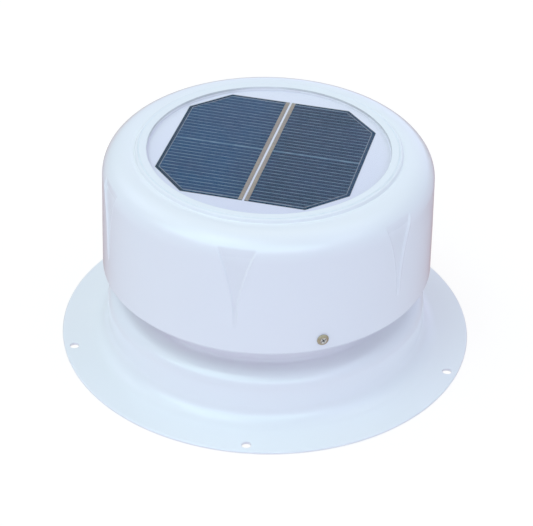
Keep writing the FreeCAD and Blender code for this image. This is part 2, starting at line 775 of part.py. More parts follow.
def blade_section(radius, chord, pitch, thick):
    """Cambered blade section at a radius, leading edge low and towards +Y."""
    camber = chord * 0.07
    half = chord / 2
    upper = [(-half, 0), (0, camber + thick / 2), (half, 0)]
    lower = [(half, -thick * 0.4), (0, camber - thick / 2), (-half, -thick * 0.4)]
    turn = math.radians(-pitch)

    def place(point):
        y, z = point
        return FreeCAD.Vector(
            radius,
            y * math.cos(turn) - z * math.sin(turn),
            IMPELLER_MID_Z + y * math.sin(turn) + z * math.cos(turn),
        )

    top = [place(p) for p in upper]
    bottom = [place(p) for p in lower]
    return Part.Wire([
        Part.Arc(*top).toShape(),
        Part.makeLine(top[2], bottom[0]),
        Part.Arc(*bottom).toShape(),
        Part.makeLine(bottom[2], top[0]),
    ])


def blade():
    """Twisted blade that widens outwards, trimmed to the impeller's radius."""
    root = HUB_R - 1.2
    steps = 4
    sections = []
    for k in range(steps + 1):
        share = k / steps
        radius = root + (IMPELLER_R + 2 - root) * share
        chord = 21.0 + 31.0 * math.sin(share * math.pi * 0.62)
        pitch = 42.0 - 24.0 * share ** 0.7
        sections.append(blade_section(radius, chord, pitch, 2.2 - 0.8 * share))
    loft = Part.makeLoft(sections, True)
    return loft.common(rod(IMPELLER_R, HUB_BOTTOM_Z - 5, HUB_TOP_Z + 5))


def impeller():
    """Hub cup, open towards the motor, with a centre boss, ribs and five blades."""
    skin = 1.8
    nose = 4.0
    boss_r = 4.5
    cup = spin([
        (PRESS_BORE_R, HUB_BOTTOM_Z),
        Arc(HUB_R - nose, HUB_BOTTOM_Z + nose, nose, -90, 0),
        (HUB_R, HUB_TOP_Z),
        (HUB_R - skin, HUB_TOP_Z),
        (HUB_R - skin, HUB_BOTTOM_Z + 2.4 + nose / 2),
        (HUB_R - skin - nose / 2, HUB_BOTTOM_Z + 2.4),
        (boss_r, HUB_BOTTOM_Z + 2.4),
        (boss_r, HUB_TOP_Z - 1.5),
        (PRESS_BORE_R, HUB_TOP_Z - 1.5),
    ])
    rib = block((boss_r - 1, HUB_R - 1), (-0.7, 0.7), (HUB_BOTTOM_Z + 2, HUB_TOP_Z - 6))
    inside = rod(HUB_R - skin / 2, HUB_BOTTOM_Z, HUB_TOP_Z)
    outside = [b.cut(inside) for b in around(blade(), IMPELLER_BLADES)]
    return joined([cup] + around(rib, IMPELLER_BLADES, 36) + outside)


def impeller_nut():
    """Hexagon nut under the hub."""
    corner = NUT_FLATS / math.sqrt(3)
    outline = [(corner * math.cos(k * math.pi / 3), corner * math.sin(k * math.pi / 3)) for k in range(6)]
    body = prism(outline, HUB_BOTTOM_Z - NUT_H, HUB_BOTTOM_Z)
    return body.cut(rod(PRESS_BORE_R, HUB_BOTTOM_Z - NUT_H - 1, HUB_BOTTOM_Z + 1))


def main():
    os.makedirs("parts", exist_ok=True)

    save("base_flange", base_flange())
    save("hood_cover", hood_cover())
    save("cover_screws", *cover_screws())

    left, right = half_cell(-1), half_cell(1)
    ribbons = busbar_ribbons()
    save("panel_bezel", panel_bezel())
    save("bezel_sealant", bezel_sealant())
    save("panel_substrate", panel_substrate())
    save("solar_cell_left", left)
    save("solar_cell_right", right)
    save("busbar_ribbons", *ribbons)
    save("panel_terminals", *terminal_pins())
    save("panel_encapsulant", panel_encapsulant([left, right] + ribbons))
    save("panel_window", panel_window())

    save("lead_grommet", lead_grommet())
    save("lead_red", *lead(-1))
    save("lead_black", *lead(1))
    save("connector_plug", connector_plug())
    save("connector_socket", connector_socket())

    save("motor_bracket", motor_bracket())
    save("bracket_screws", *bracket_screws())
    save("motor_screws", *motor_screws())
    save("inlet_guard", inlet_guard())
    save("guard_screws", *guard_screws())

    save("motor_can", motor_can())
    save("motor_magnets", *motor_magnets())
    save("motor_bush_front", bush(FRONT_BUSH_BOTTOM, FRONT_BUSH_TOP))
    save("motor_bush_rear", bush(CAN_TOP_Z, CAN_TOP_Z + 3.6))
    save("motor_end_cap", motor_end_cap())
    save("motor_brushes", *motor_brushes())
    save("motor_terminals", *motor_terminals())

    save("motor_shaft", motor_shaft())
    save("armature_core", armature_core())
    save("armature_windings", *armature_windings())
    save("commutator_sleeve", commutator_sleeve())
    save("commutator_segments", *commutator_segments())
    save("thrust_washers", *thrust_washers())
    save("impeller", impeller())
    save("impeller_nut", impeller_nut())


main()
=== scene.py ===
import math
import random

import bmesh
import bpy
from mathutils import Matrix, Vector, noise


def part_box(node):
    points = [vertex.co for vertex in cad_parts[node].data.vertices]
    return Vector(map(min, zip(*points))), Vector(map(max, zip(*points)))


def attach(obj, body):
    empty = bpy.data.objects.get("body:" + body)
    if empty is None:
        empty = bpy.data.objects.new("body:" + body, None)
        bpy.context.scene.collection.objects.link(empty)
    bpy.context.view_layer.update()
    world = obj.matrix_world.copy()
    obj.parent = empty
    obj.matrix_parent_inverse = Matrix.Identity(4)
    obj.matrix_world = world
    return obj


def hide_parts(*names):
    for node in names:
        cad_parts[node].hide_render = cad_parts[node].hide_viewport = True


# Looks of a round solar-powered roof ventilator. Lengths are millimetres until a mesh is made.

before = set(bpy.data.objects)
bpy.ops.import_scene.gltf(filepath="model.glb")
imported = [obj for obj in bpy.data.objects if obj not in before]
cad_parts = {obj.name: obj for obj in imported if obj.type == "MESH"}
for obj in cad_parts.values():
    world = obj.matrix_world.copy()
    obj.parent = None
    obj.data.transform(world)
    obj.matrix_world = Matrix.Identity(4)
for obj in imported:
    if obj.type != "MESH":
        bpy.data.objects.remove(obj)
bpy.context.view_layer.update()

MM = 0.001
HOUSING = "housing"


# ---- sizes -------------------------------------------------------------------------------------------
def low(node):
    """Lowest corner of a CAD node in millimetres."""
    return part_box(node)[0] / MM


def high(node):
    """Highest corner of a CAD node in millimetres."""
    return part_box(node)[1] / MM


def mid_z(node):
    return (low(node).z + high(node).z) / 2


WALL = 2.2
FLANGE_R = high("base_flange").x
NECK_TOP = high("base_flange").z
BELL_R = 105.7
COVE_RADIUS = 12.0
SHOULDER_RADIUS = 9.7
SHOULDER_Z = 35.7
NECK_R = 88.4
NECK_FILLET = 3.0
FLANGE_HOLES = 5
FLANGE_HOLE_R = 3.0
FLANGE_HOLE_CIRCLE = 130.0
FLANGE_HOLE_START = -94.4

HOOD_BOTTOM_Z = low("hood_cover").z
HOOD_BOTTOM_R = high("hood_cover").x
LIP_Z = high("hood_cover").z
HOOD_TOP_R = 106.9            # where the domed edge starts
HOOD_EDGE_RADIUS = 16.3
HOOD_TOP_Z = 139.0
GROOVE_R = 86.0
GROOVE_DEPTH = 0.5
LIP_R = 85.2
POCKET_R = 83.9

PETALS = 6
PETAL_START = -100.0
PETAL_TIP_Z = 74.0
PETAL_TOP_Z = 131.0
PETAL_HALF_WIDTH = 12.2
PETAL_DEPTH = 1.0

BEZEL_INNER_R = 78.2
BEZEL_OUTER_R = high("panel_bezel").x
BEZEL_TOP_Z = high("panel_bezel").z
BEZEL_BOTTOM_Z = low("panel_bezel").z
BEZEL_SLOPE = 0.3
WINDOW_R = high("panel_window").x
WINDOW_TOP = high("panel_window").z
WINDOW_BOTTOM = low("panel_window").z
BOARD_BOTTOM = low("panel_substrate").z

CELL_TURN = -13.6             # the cells sit turned in the pocket
CELL_OFFSET = (-1.3, 1.8)
CELL_LENGTH = 125.0
CELL_WIDTH = 125.8
CELL_GAP = 1.4
GAP_MIDDLE = 0.6
CELL_CHAMFER = 23.0
CELL_TOP = high("solar_cell_left").z
BARE_RIM = 2.3                # width of the cells' uncoated rim
FINGERS = 17                  # on each side of the middle
FINGER_PITCH = 3.73
RIBBON_W = 2.45
RIBBON_INSET = 0.4
RIBBON_TOP = high("busbar_ribbons").z

SCREWS = 3
SCREW_START = -70.7
SCREW_TURNS = (28, 12, 71)    # how far each cross recess is turned
SCREW_Z = mid_z("cover_screws")
SCREW_HEAD_R = (high("cover_screws").z - low("cover_screws").z) / 2
SCREW_HEAD_H = 1.7
LUG_END_R = 105.3
BRACKET_START = SCREW_START + 60
BRACKET_EAR_R = 92.0
GUARD_TOP = high("inlet_guard").z
GUARD_CIRCLE = 82.4
GROMMET_R = 5.6
LEAD_Y = -58.0

UP = Vector((0, 0, 1))


# ---- outlines ----------------------------------------------------------------------------------------
def unit(angle):
    """Unit vector at an angle in degrees."""
    turn = math.radians(angle)
    return Vector((math.cos(turn), math.sin(turn)))


def smooth(value, start=0.0, end=1.0):
    """0 before start, 1 after end, and an S-curve between."""
    t = min(max((value - start) / (end - start), 0.0), 1.0)
    return t * t * (3 - 2 * t)


def corner_arc(before, corner, after, radius, step):
    """Points of the arc of a radius that rounds off a corner."""
    back = (before - corner).normalized()
    ahead = (after - corner).normalized()
    half = back.angle(ahead) / 2
    centre = corner + (back + ahead).normalized() * radius / math.sin(half)
    reach = radius / math.tan(half)
    start = corner + back * reach - centre
    end = corner + ahead * reach - centre
    turn = start.angle_signed(end)
    count = max(2, round(abs(math.degrees(turn)) / step))
    return [centre + Matrix.Rotation(-turn * k / count, 2) @ start for k in range(count + 1)]


def outline(corners, closed=False, step=5.0, span=4.0):
    """Points along a path of (r, z) or (r, z, corner radius), with at most span between two points."""
    places = [Vector(c[:2]) for c in corners]
    points = []
    for k, corner in enumerate(corners):
        inside = closed or 0 < k < len(corners) - 1
        if inside and len(corner) == 3:
            after = places[(k + 1) % len(places)]
            points += corner_arc(places[k - 1], places[k], after, corner[2], step)
        else:
            points.append(places[k])
    if closed:
        points.append(points[0])
    path = [points[0]]
    for point in points[1:]:
        start = path[-1]
        length = (point - start).length
        if length > 1e-4:
            pieces = math.ceil(length / span)
            path += [start.lerp(point, k / pieces) for k in range(1, pieces + 1)]
    return path[:-1] if closed else path


# ---- meshes ------------------------------------------------------------------------------------------
def mesh_object(name, vertices, faces):
    """Object from vertices in millimetres, with its faces turned outwards."""
    mesh = bpy.data.meshes.new(name)
    mesh.from_pydata([Vector(v) * MM for v in vertices], [], faces)
    work = bmesh.new()
    work.from_mesh(mesh)
    bmesh.ops.recalc_face_normals(work, faces=work.faces)
    work.to_mesh(mesh)
    work.free()
    thing = bpy.data.objects.new(name, mesh)
    bpy.context.scene.collection.objects.link(thing)
    return thing


def grid_faces(rows, columns, closed):
    """Quads between rows of vertices that each go once round."""
    faces = []
    for i in range(rows if closed else rows - 1):
        for k in range(columns):
            after = (k + 1) % columns
            here, beyond = i * columns, (i + 1) % rows * columns
            faces.append((here + k, here + after, beyond + after, beyond + k))
    return faces


def revolve(name, path, columns, closed=True, ripple=None):
    """Path of (r, z) turned about Z. A path that isn't closed starts and ends on the axis.
    The ripple of (angle, r, z) is added along the radius."""
    rows = path if closed else path[1:-1]
    vertices = []
    for r, z in rows:
        for k in range(columns):
            angle = 360 * k / columns
            far = r + (ripple(angle, r, z) if ripple else 0)
            x, y = unit(angle) * far
            vertices.append((x, y, z))
    faces = grid_faces(len(rows), columns, closed)
    if not closed:
        faces += pole_faces(vertices, len(rows), columns, path[0].y, path[-1].y)
    return mesh_object(name, vertices, faces)


def pole_faces(vertices, rows, columns, first_z, last_z):
    """Fans that close the first and the last row on the axis."""
    first = len(vertices)
    vertices += [(0, 0, first_z), (0, 0, last_z)]
    last_row = (rows - 1) * columns
    fans = []
    for k in range(columns):
        after = (k + 1) % columns
        fans.append((first, k, after))
        fans.append((first + 1, last_row + after, last_row + k))
    return fans


def bar(start, end, width, height):
    """Vertices and faces of a box whose base runs from start to end, offset upwards by height."""
    start, end = Vector(start), Vector(end)
    across = (end - start).cross(UP).normalized() * width / 2
    rise = UP * height
    base = [start - across, start + across, end + across, end - across]
    faces = [(0, 1, 2, 3), (4, 7, 6, 5), (0, 4, 5, 1), (1, 5, 6, 2), (2, 6, 7, 3), (3, 7, 4, 0)]
    return base + [v + rise for v in base], faces


def bars_object(name, bars):
    """One object from many bars."""
    vertices, faces = [], []
    for corners, sides in bars:
        first = len(vertices)
        vertices += corners
        faces += [tuple(first + i for i in side) for side in sides]
    return mesh_object(name, vertices, faces)


def cylinder(name, radius, start, end):
    """Closed round bar between two points."""
    start, end = Vector(start), Vector(end)
    turn = UP.rotation_difference(end - start)
    length = (end - start).length
    path = [Vector((0, 0)), Vector((radius, 0)), Vector((radius, length)), Vector((0, length))]
    thing = revolve(name, path, 48, closed=False)
    thing.data.transform(Matrix.Translation(start * MM) @ turn.to_matrix().to_4x4())
    return thing


def turn_mesh(thing, angle):
    thing.data.transform(Matrix.Rotation(math.radians(angle), 4, "Z"))
    return thing


def copies_around(thing, count, start):
    """Replaces a mesh by copies of itself turned about Z."""
    work = bmesh.new()
    for k in range(count):
        part = bmesh.new()
        part.from_mesh(thing.data)
        part.transform(Matrix.Rotation(math.radians(start + 360 * k / count), 4, "Z"))
        step = bpy.data.meshes.new("step")
        part.to_mesh(step)
        part.free()
        work.from_mesh(step)
        bpy.data.meshes.remove(step)
    work.to_mesh(thing.data)
    work.free()
    return thing


def apply_modifiers(thing):
    """Bakes an object's modifiers into its mesh."""
    graph = bpy.context.evaluated_depsgraph_get()
    mesh = bpy.data.meshes.new_from_object(thing.evaluated_get(graph))
    thing.modifiers.clear()
    thing.data = mesh


def combine(thing, tool, operation):
    """Boolean of a closed mesh with a closed tool, which is used up."""
    modifier = thing.modifiers.new("combine", "BOOLEAN")
    modifier.object = tool
    modifier.operation = operation
    modifier.solver = "MANIFOLD"
    apply_modifiers(thing)
    bpy.data.objects.remove(tool)


def shade(thing, sharp=32.0):
    """Smooth shading that keeps edges sharper than the angle."""
    mesh = thing.data
    mesh.polygons.foreach_set("use_smooth", [True] * len(mesh.polygons))
    mesh.set_sharp_from_angle(angle=math.radians(sharp))
    return thing


def mark_recess(thing, values):
    """Tells the moulded plastic which vertices lie in a recess."""
    marks = thing.data.attributes.new("recess", "FLOAT", "POINT")
    marks.data.foreach_set("value", values)


def finish_piece(thing, paint, slot, *stands_for):
    """Gives a piece its material and its body, and hides the CAD nodes that it stands for."""
    thing.data.materials.clear()
    thing.data.materials.append(paint)
    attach(thing, HOUSING)
    if stands_for:
        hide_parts(*stands_for)


# ---- materials ---------------------------------------------------------------------------------------
VIEW_GAMMA = 1.6
UNDER_FILM = 0.08              # mirror strength of what lies in the clear film


def tone(colour):
    """Surface colour that keeps a look under the view's gamma."""
    return tuple(c ** VIEW_GAMMA for c in colour)


class Graph:
    """Adds and links shader nodes in a node tree."""

    def __init__(self, tree):
        self.nodes = tree.nodes
        self.links = tree.links

    def feed(self, socket, value):
        if isinstance(value, bpy.types.NodeSocket):
            self.links.new(value, socket)
        else:
            socket.default_value = value

    def add(self, kind, *values, **settings):
        """New node with its first inputs fed in order."""
        node = self.nodes.new("ShaderNode" + kind)
        for key, value in settings.items():
            setattr(node, key, value)
        for socket, value in zip(node.inputs, values):
            self.feed(socket, value)
        return node

    def math(self, operation, a, b=0.0):
        return self.add("Math", a, b, operation=operation).outputs[0]

    def spread(self, value, low_in, high_in, low_out=0.0, high_out=1.0):
        """Value moved from one range to another, and held inside it."""
        return self.add("MapRange", value, low_in, high_in, low_out, high_out).outputs[0]

    def mix(self, amount, a, b):
        node = self.nodes.new("ShaderNodeMix")
        node.data_type = "RGBA"
        for index, value in zip((0, 6, 7), (amount, a, b)):
            self.feed(node.inputs[index], value)
        return node.outputs[2]


class Paint(Graph):
    """Node graph of one material. Sizes of patterns are millimetres on the object."""

    def __init__(self, name, colour, roughness, metallic=0.0):
        self.material = bpy.data.materials.new(name)
        self.material.use_nodes = True
        super().__init__(self.material.node_tree)
        self.shader = self.nodes["Principled BSDF"]
        self.place = self.add("TexCoord").outputs["Object"]
        self.colour = (*colour, 1)
        self.roughness = roughness
        self.normal = None
        self.set("Metallic", metallic)

    def set(self, name, value):
        self.feed(self.shader.inputs[name], value)

    def turned_place(self, angle=0.0, offset=(0, 0), scale=(1, 1, 1)):
        """Object coordinates in millimetres, in a frame turned about Z and moved to the offset."""
        x, y = offset
        moved = self.add("VectorMath", self.place, (x * MM, y * MM, 0), operation="SUBTRACT").outputs[0]
        turned = self.add("VectorRotate", moved, rotation_type="Z_AXIS")
        turned.inputs["Angle"].default_value = math.radians(-angle)
        grown = tuple(s / MM for s in scale)
        return self.add("VectorMath", turned.outputs[0], grown, operation="MULTIPLY").outputs[0]

    def noise(self, size, detail=2.0, stretch=(1, 1, 1), harsh=0.5, angle=0.0):
        """Noise whose lumps are about a size across, or longer along an axis by its stretch."""
        place = self.turned_place(angle, scale=tuple(1 / (size * s) for s in stretch))
        node = self.add("TexNoise", place)
        node.inputs["Scale"].default_value = 1.0
        node.inputs["Detail"].default_value = detail
        node.inputs["Roughness"].default_value = harsh
        return node.outputs["Fac"]

    def tint(self, colour, pattern, low_in=0.35, high_in=0.65, amount=1.0):
        """Shifts the colour towards another where a pattern is high."""
        self.colour = self.mix(self.spread(pattern, low_in, high_in, 0.0, amount), self.colour, (*colour, 1))

    def gloss(self, change, pattern, low_in=0.35, high_in=0.65):
        """Adds a change to the roughness where a pattern is high."""
        self.roughness = self.math("ADD", self.spread(pattern, low_in, high_in, 0.0, change), self.roughness)

    def bump(self, pattern, depth):
        """Relief of a depth in millimetres."""
        node = self.add("Bump")
        node.inputs["Distance"].default_value = depth * MM
        self.feed(node.inputs["Height"], pattern)
        if self.normal:
            self.links.new(self.normal, node.inputs["Normal"])
        self.normal = node.outputs[0]

    def add_output(self, node):
        """Makes another shader node the material's surface."""
        self.links.new(node.outputs[0], self.nodes["Material Output"].inputs["Surface"])
        self.nodes.remove(self.shader)

    def done(self):
        self.set("Base Color", self.colour)
        self.set("Roughness", self.roughness)
        if self.normal:
            self.set("Normal", self.normal)
        return self.material


def moulded(name, colour, warm, roughness=0.14, recess_shade=0.06):
    """Glossy injection-moulded plastic: faint mottle, hairline scuffs and orange peel. Recesses, where a mesh
    marks them, are duller, and darker by painted shade of the given strength."""
    paint = Paint(name, colour, roughness)
    recess = paint.add("Attribute", attribute_name="recess").outputs["Fac"]
    # Painted shade: vertices marked as recess are darkened.
    paint.tint(tuple(c * (1 - recess_shade) for c in colour), recess, 0.0, 1.0)
    paint.gloss(0.15, recess, 0.0, 1.0)
    paint.tint(warm, paint.noise(45, 3), 0.4, 0.65, 0.6)
    paint.tint(tuple(c * 0.97 for c in colour), paint.noise(0.6, 2), 0.5, 0.8, 0.5)
    paint.gloss(0.04, paint.noise(60, 1), 0.35, 0.65)
    paint.gloss(0.08, paint.noise(0.25, 2, stretch=(1, 40, 9)), 0.62, 0.75)
    paint.gloss(0.08, paint.noise(0.25, 2, stretch=(30, 1, 14)), 0.64, 0.78)
    paint.bump(paint.noise(1.6, 2), 0.004)
    paint.bump(paint.noise(16, 1), 0.03)
    return paint.done()


def rubbery(name, colour, roughness=0.6):
    """Soft rubber or cable sleeve: matt, slightly dusty, fine grain."""
    paint = Paint(name, tone(colour), roughness)
    paint.tint(tone(c * 0.8 + 0.06 for c in colour), paint.noise(6, 4), 0.45, 0.75, 0.7)
    paint.gloss(0.2, paint.noise(3, 3))
    paint.bump(paint.noise(0.35, 3), 0.03)
    return paint.done()


def metal(name, colour, stain, roughness=0.3, grain=(1, 1, 1)):
    """Bare or plated metal: stains, rolling or turning marks and fine scratches."""
    paint = Paint(name, tone(colour), roughness, metallic=1.0)
    paint.tint(tone(stain), paint.noise(5, 4), 0.42, 0.68, 0.8)
    marks = paint.noise(0.5, 3, stretch=grain, harsh=0.65)
    paint.gloss(0.22, marks)
    paint.gloss(0.15, paint.noise(2.5, 3))
    paint.bump(marks, 0.008)
    return paint.done()


def mineral(name, colour, fleck, roughness=0.7):
    """Pressed and sintered stuff such as ferrite, carbon or bronze: open grain and small pits."""
    paint = Paint(name, tone(colour), roughness)
    paint.tint(tone(fleck), paint.noise(0.35, 2), 0.5, 0.7, 0.9)
    paint.gloss(0.2, paint.noise(2, 3))
    paint.bump(paint.noise(0.25, 3), 0.04)
    return paint.done()


def board_white():
    """White glass-fibre board under the cells: faint weave, cloudy tint, and painted shade that darkens it
    towards the front.
    """
    paint = Paint("board_white", (0.86, 0.83, 0.95), 0.5)
    back = paint.add("SeparateXYZ", paint.turned_place()).outputs[1]
    # Painted shade: darker towards the front of the board.
    paint.tint((0.71, 0.68, 0.85), back, 40.0, -60.0)
    paint.tint((0.80, 0.78, 0.90), paint.noise(28, 3), 0.4, 0.65, 0.3)
    weave = paint.noise(0.5, 1, stretch=(8, 1, 1))
    paint.tint((0.72, 0.71, 0.82), weave, 0.45, 0.7, 0.3)
    paint.gloss(0.15, weave)
    paint.bump(weave, 0.01)
    paint.set("Specular IOR Level", UNDER_FILM)
    return paint.done()


def silicon():
    """Dark blue cell: teal rim where the coating is bare, fine streaks along the fingers."""
    paint = Paint("silicon_blue", (0.001, 0.015, 0.045), 0.3)
    place = paint.turned_place(CELL_TURN, CELL_OFFSET)
    axes = paint.add("SeparateXYZ", place).outputs
    left = paint.spread(axes[0], -20.0, 12.0, 1.0, 0.0)
    paint.colour = paint.mix(left, (0.0010, 0.0090, 0.020, 1), (0.0008, 0.0200, 0.058, 1))
    cloud = paint.noise(26, 3)
    paint.tint((0.003, 0.013, 0.038), cloud, 0.4, 0.68, 0.5)
    streak = paint.noise(0.45, 3, stretch=(30, 1, 1), angle=CELL_TURN)
    paint.tint((0.004, 0.020, 0.045), streak, 0.45, 0.7, 0.15)
    along = paint.math("ABSOLUTE", axes[1])
    across = paint.math("ABSOLUTE", axes[0])
    edge_y = paint.math("SUBTRACT", CELL_LENGTH / 2, along)
    edge_x = paint.math("SUBTRACT", CELL_WIDTH / 2, across)
    corner = (CELL_LENGTH + CELL_WIDTH) / 2 - CELL_CHAMFER
    chamfer = paint.math("SUBTRACT", corner, paint.math("ADD", along, across))
    chamfer = paint.math("MULTIPLY", chamfer, math.sqrt(0.5))
    rim = paint.math("MINIMUM", paint.math("MINIMUM", edge_x, edge_y), chamfer)
    right = paint.spread(axes[0], 20.0, 55.0)
    bare = paint.mix(right, (0.0008, 0.0105, 0.019, 1), (0.0020, 0.016, 0.036, 1))
    on_rim = paint.spread(rim, BARE_RIM - 0.2, BARE_RIM + 0.2, 1.0, 0.0)
    paint.colour = paint.mix(on_rim, paint.colour, bare)
    paint.gloss(0.15, paint.noise(3, 3))
    paint.bump(paint.noise(0.2, 3), 0.006)
    paint.set("Specular IOR Level", UNDER_FILM)
    return paint.done()


def silver_paste(name, colour, thin):
    """Printed silver lines, thinner here and there."""
    paint = Paint(name, colour, 0.5)
    paint.tint(thin, paint.noise(2.4, 2, stretch=(2.2, 1, 1), angle=CELL_TURN), 0.42, 0.58, 0.9)
    paint.bump(paint.noise(0.15, 2), 0.01)
    paint.gloss(0.2, paint.noise(1, 2))
    paint.set("Specular IOR Level", UNDER_FILM)
    return paint.done()


def tinned_ribbon():
    """Flat copper ribbon, tinned and tanned by soldering flux."""
    paint = Paint("tinned_ribbon", (0.25, 0.18, 0.13), 0.42, metallic=0.3)
    paint.tint((0.32, 0.225, 0.135), paint.noise(7, 3, stretch=(1, 3, 1), angle=CELL_TURN), 0.4, 0.65, 0.9)
    paint.tint((0.18, 0.15, 0.13), paint.noise(1.3, 3), 0.5, 0.75, 0.8)
    paint.gloss(0.25, paint.noise(2.5, 3))
    paint.bump(paint.noise(0.8, 3), 0.05)
    return paint.done()


def solder():
    """Dull solder, browned by flux."""
    paint = Paint("solder", (0.34, 0.29, 0.24), 0.4, metallic=0.5)
    paint.tint((0.25, 0.20, 0.15), paint.noise(0.8, 3))
    paint.gloss(0.25, paint.noise(0.5, 2))
    paint.bump(paint.noise(0.6, 2), 0.06)
    return paint.done()


def clear_sheet(name, reflection, haze=0.0):
    """Thin clear layer: passes light straight through and mirrors a little of it at its surface."""
    paint = Paint(name, (1, 1, 1), 0.05)
    through = paint.add("BsdfTransparent")
    mirror = paint.add("BsdfAnisotropic")
    smear = paint.spread(paint.noise(9, 4, harsh=0.6), 0.35, 0.7, 0.06, 0.22)
    paint.feed(mirror.inputs["Roughness"], smear)
    waves = paint.add("Bump")
    waves.inputs["Distance"].default_value = 0.02 * MM
    paint.feed(waves.inputs["Height"], paint.noise(18, 1))
    paint.links.new(waves.outputs[0], mirror.inputs["Normal"])
    front = paint.math("SUBTRACT", 1.0, paint.add("NewGeometry").outputs["Backfacing"])
    share = paint.math("MULTIPLY", paint.add("Fresnel", 1.0 + reflection).outputs[0], front)
    both = paint.add("MixShader", share, through.outputs[0], mirror.outputs[0])
    dust = paint.spread(paint.noise(0.7, 3), 0.62, 0.75, 0.0, haze)
    veil = paint.add("BsdfDiffuse")
    dusty = paint.add("MixShader", dust, both.outputs[0], veil.outputs[0])
    paint.add_output(dusty)
    return paint.material


def sealant_white():
    """Milky silicone."""
    paint = Paint("sealant_white", (0.83, 0.87, 0.90), 0.42)
    paint.tint((0.72, 0.78, 0.83), paint.noise(4, 4), 0.42, 0.66, 0.7)
    paint.gloss(0.2, paint.noise(2, 3))
    paint.bump(paint.noise(1.1, 3), 0.08)
    return paint.done()


def yellow_zinc(name, colour, dark, light):
    """Yellow-passivated zinc of the cover screws: patchy, with painted shade deep in the recess."""
    paint = Paint(name, colour, 0.4, metallic=0.3)
    paint.tint(dark, paint.noise(1.4, 3), 0.42, 0.62, 0.8)
    paint.tint(light, paint.noise(0.7, 2), 0.55, 0.72, 0.8)
    # Painted shade: ambient occlusion darkens the colour deep in the cross recess.
    open_sky = paint.add("AmbientOcclusion")
    open_sky.inputs["Distance"].default_value = 1.2 * MM
    unshaded = paint.spread(open_sky.outputs["AO"], 0.45, 0.85)
    paint.colour = paint.mix(unshaded, (0.004, 0.003, 0.003, 1), paint.colour)
    paint.gloss(0.2, paint.noise(0.6, 3))
    paint.bump(paint.noise(0.25, 3), 0.02)
    return paint.done()


def enamelled_wire():
    """Wound copper wire under amber enamel: fine turns around the coil."""
    paint = Paint("enamelled_wire", tone((0.45, 0.16, 0.05)), 0.28, metallic=0.7)
    paint.tint(tone((0.30, 0.09, 0.03)), paint.noise(3, 3))
    turns = paint.add("TexWave", paint.turned_place(), wave_type="RINGS")
    turns.inputs["Scale"].default_value = 0.9
    paint.bump(turns.outputs["Fac"], 0.12)
    paint.gloss(0.2, paint.noise(1, 2))
    return paint.done()


# ---- white mouldings ---------------------------------------------------------------------------------
def skirt_r(z):
    """Outside radius of the hood's skirt, which leans in a little towards the top."""
    straight = HOOD_TOP_Z - HOOD_EDGE_RADIUS - HOOD_BOTTOM_Z
    return HOOD_BOTTOM_R + (HOOD_TOP_R - HOOD_BOTTOM_R) * (z - HOOD_BOTTOM_Z) / straight


def sway(angle, r, z):
    """Slight unevenness of a moulded wall."""
    point = Vector((*(unit(angle) * r), z))
    return 0.10 * noise.noise(point / 34.0) + 0.03 * noise.noise(point / 11.0)


def petal_half_width(z):
    """Half width of a petal-shaped recess: two arcs that leave a common tip upright."""
    height = PETAL_TOP_Z - PETAL_TIP_Z
    radius = (height ** 2 + PETAL_HALF_WIDTH ** 2) / (2 * PETAL_HALF_WIDTH)
    rise = min(max(z - PETAL_TIP_Z, 0.0), height)
    return radius - math.sqrt(radius ** 2 - rise ** 2)


def petal_floor_r(z):
    """Radius of a recess's floor, which runs out on the domed edge along a straight slope."""
    start_z = HOOD_TOP_Z - HOOD_EDGE_RADIUS
    if z <= start_z:
        return skirt_r(z) - PETAL_DEPTH
    edge_r = HOOD_TOP_R - HOOD_EDGE_RADIUS
    top_r = edge_r + math.sqrt(HOOD_EDGE_RADIUS ** 2 - (PETAL_TOP_Z - start_z) ** 2)
    return skirt_r(start_z) - PETAL_DEPTH + (top_r - skirt_r(start_z) + PETAL_DEPTH) * (
        (z - start_z) / (PETAL_TOP_Z - start_z)
    )


def petal_columns():
    """Mesh columns on one side of a petal's middle, each as (share, extra): the arc length from the middle is
    share * half width + extra. They crowd along the recess's edge."""
    inset = 0.85
    outset = 2.6
    inner_steps = 5
    edge_steps = 12
    outer_steps = 15
    half_sector = math.pi / PETALS * HOOD_TOP_R
    columns = [(k / inner_steps, -inset * k / inner_steps) for k in range(1, inner_steps)]
    columns += [(1, -inset + (inset + outset) * k / edge_steps) for k in range(edge_steps)]
    for k in range(outer_steps + 1):
        t = (k / outer_steps) ** 1.4
        columns.append((1 - t, (1 - t) * outset + t * half_sector))
    return columns


def hood_section():
    """Closed section of the hood as (r, z) rows from the axis round its outside, its inside and back.
    The second result tells which rows lie on the skirt and the domed edge."""
    lip = WALL / 2
    top = outline(
        [
            (0, BOARD_BOTTOM),
            (POCKET_R, BOARD_BOTTOM, 0.5),
            (POCKET_R, LIP_Z, 0.25),
            (LIP_R, LIP_Z, 1.1),
            (GROOVE_R, HOOD_TOP_Z - GROOVE_DEPTH, 0.5),
            (GROOVE_R + 2.4, HOOD_TOP_Z, 4.0),
            (skirt_r(HOOD_TOP_Z), HOOD_TOP_Z, HOOD_EDGE_RADIUS),
            (skirt_r(PETAL_TIP_Z), PETAL_TIP_Z),
        ],
        step=3.0,
        span=1.6,
    )
    inner_r = HOOD_TOP_R - WALL
    rest = outline(
        [
            (skirt_r(PETAL_TIP_Z), PETAL_TIP_Z),
            (HOOD_BOTTOM_R, HOOD_BOTTOM_Z, lip * 0.9),
            (HOOD_BOTTOM_R - WALL, HOOD_BOTTOM_Z, lip * 0.9),
            (inner_r, HOOD_TOP_Z - WALL, HOOD_EDGE_RADIUS - WALL),
            (POCKET_R + WALL, HOOD_TOP_Z - WALL, 0.6),
            (POCKET_R + WALL, BOARD_BOTTOM - WALL, 0.8),
            (0, BOARD_BOTTOM - WALL),
        ],
        step=6.0,
        span=4.0,
    )
    rows = top + rest[1:]
    return rows, len(top)


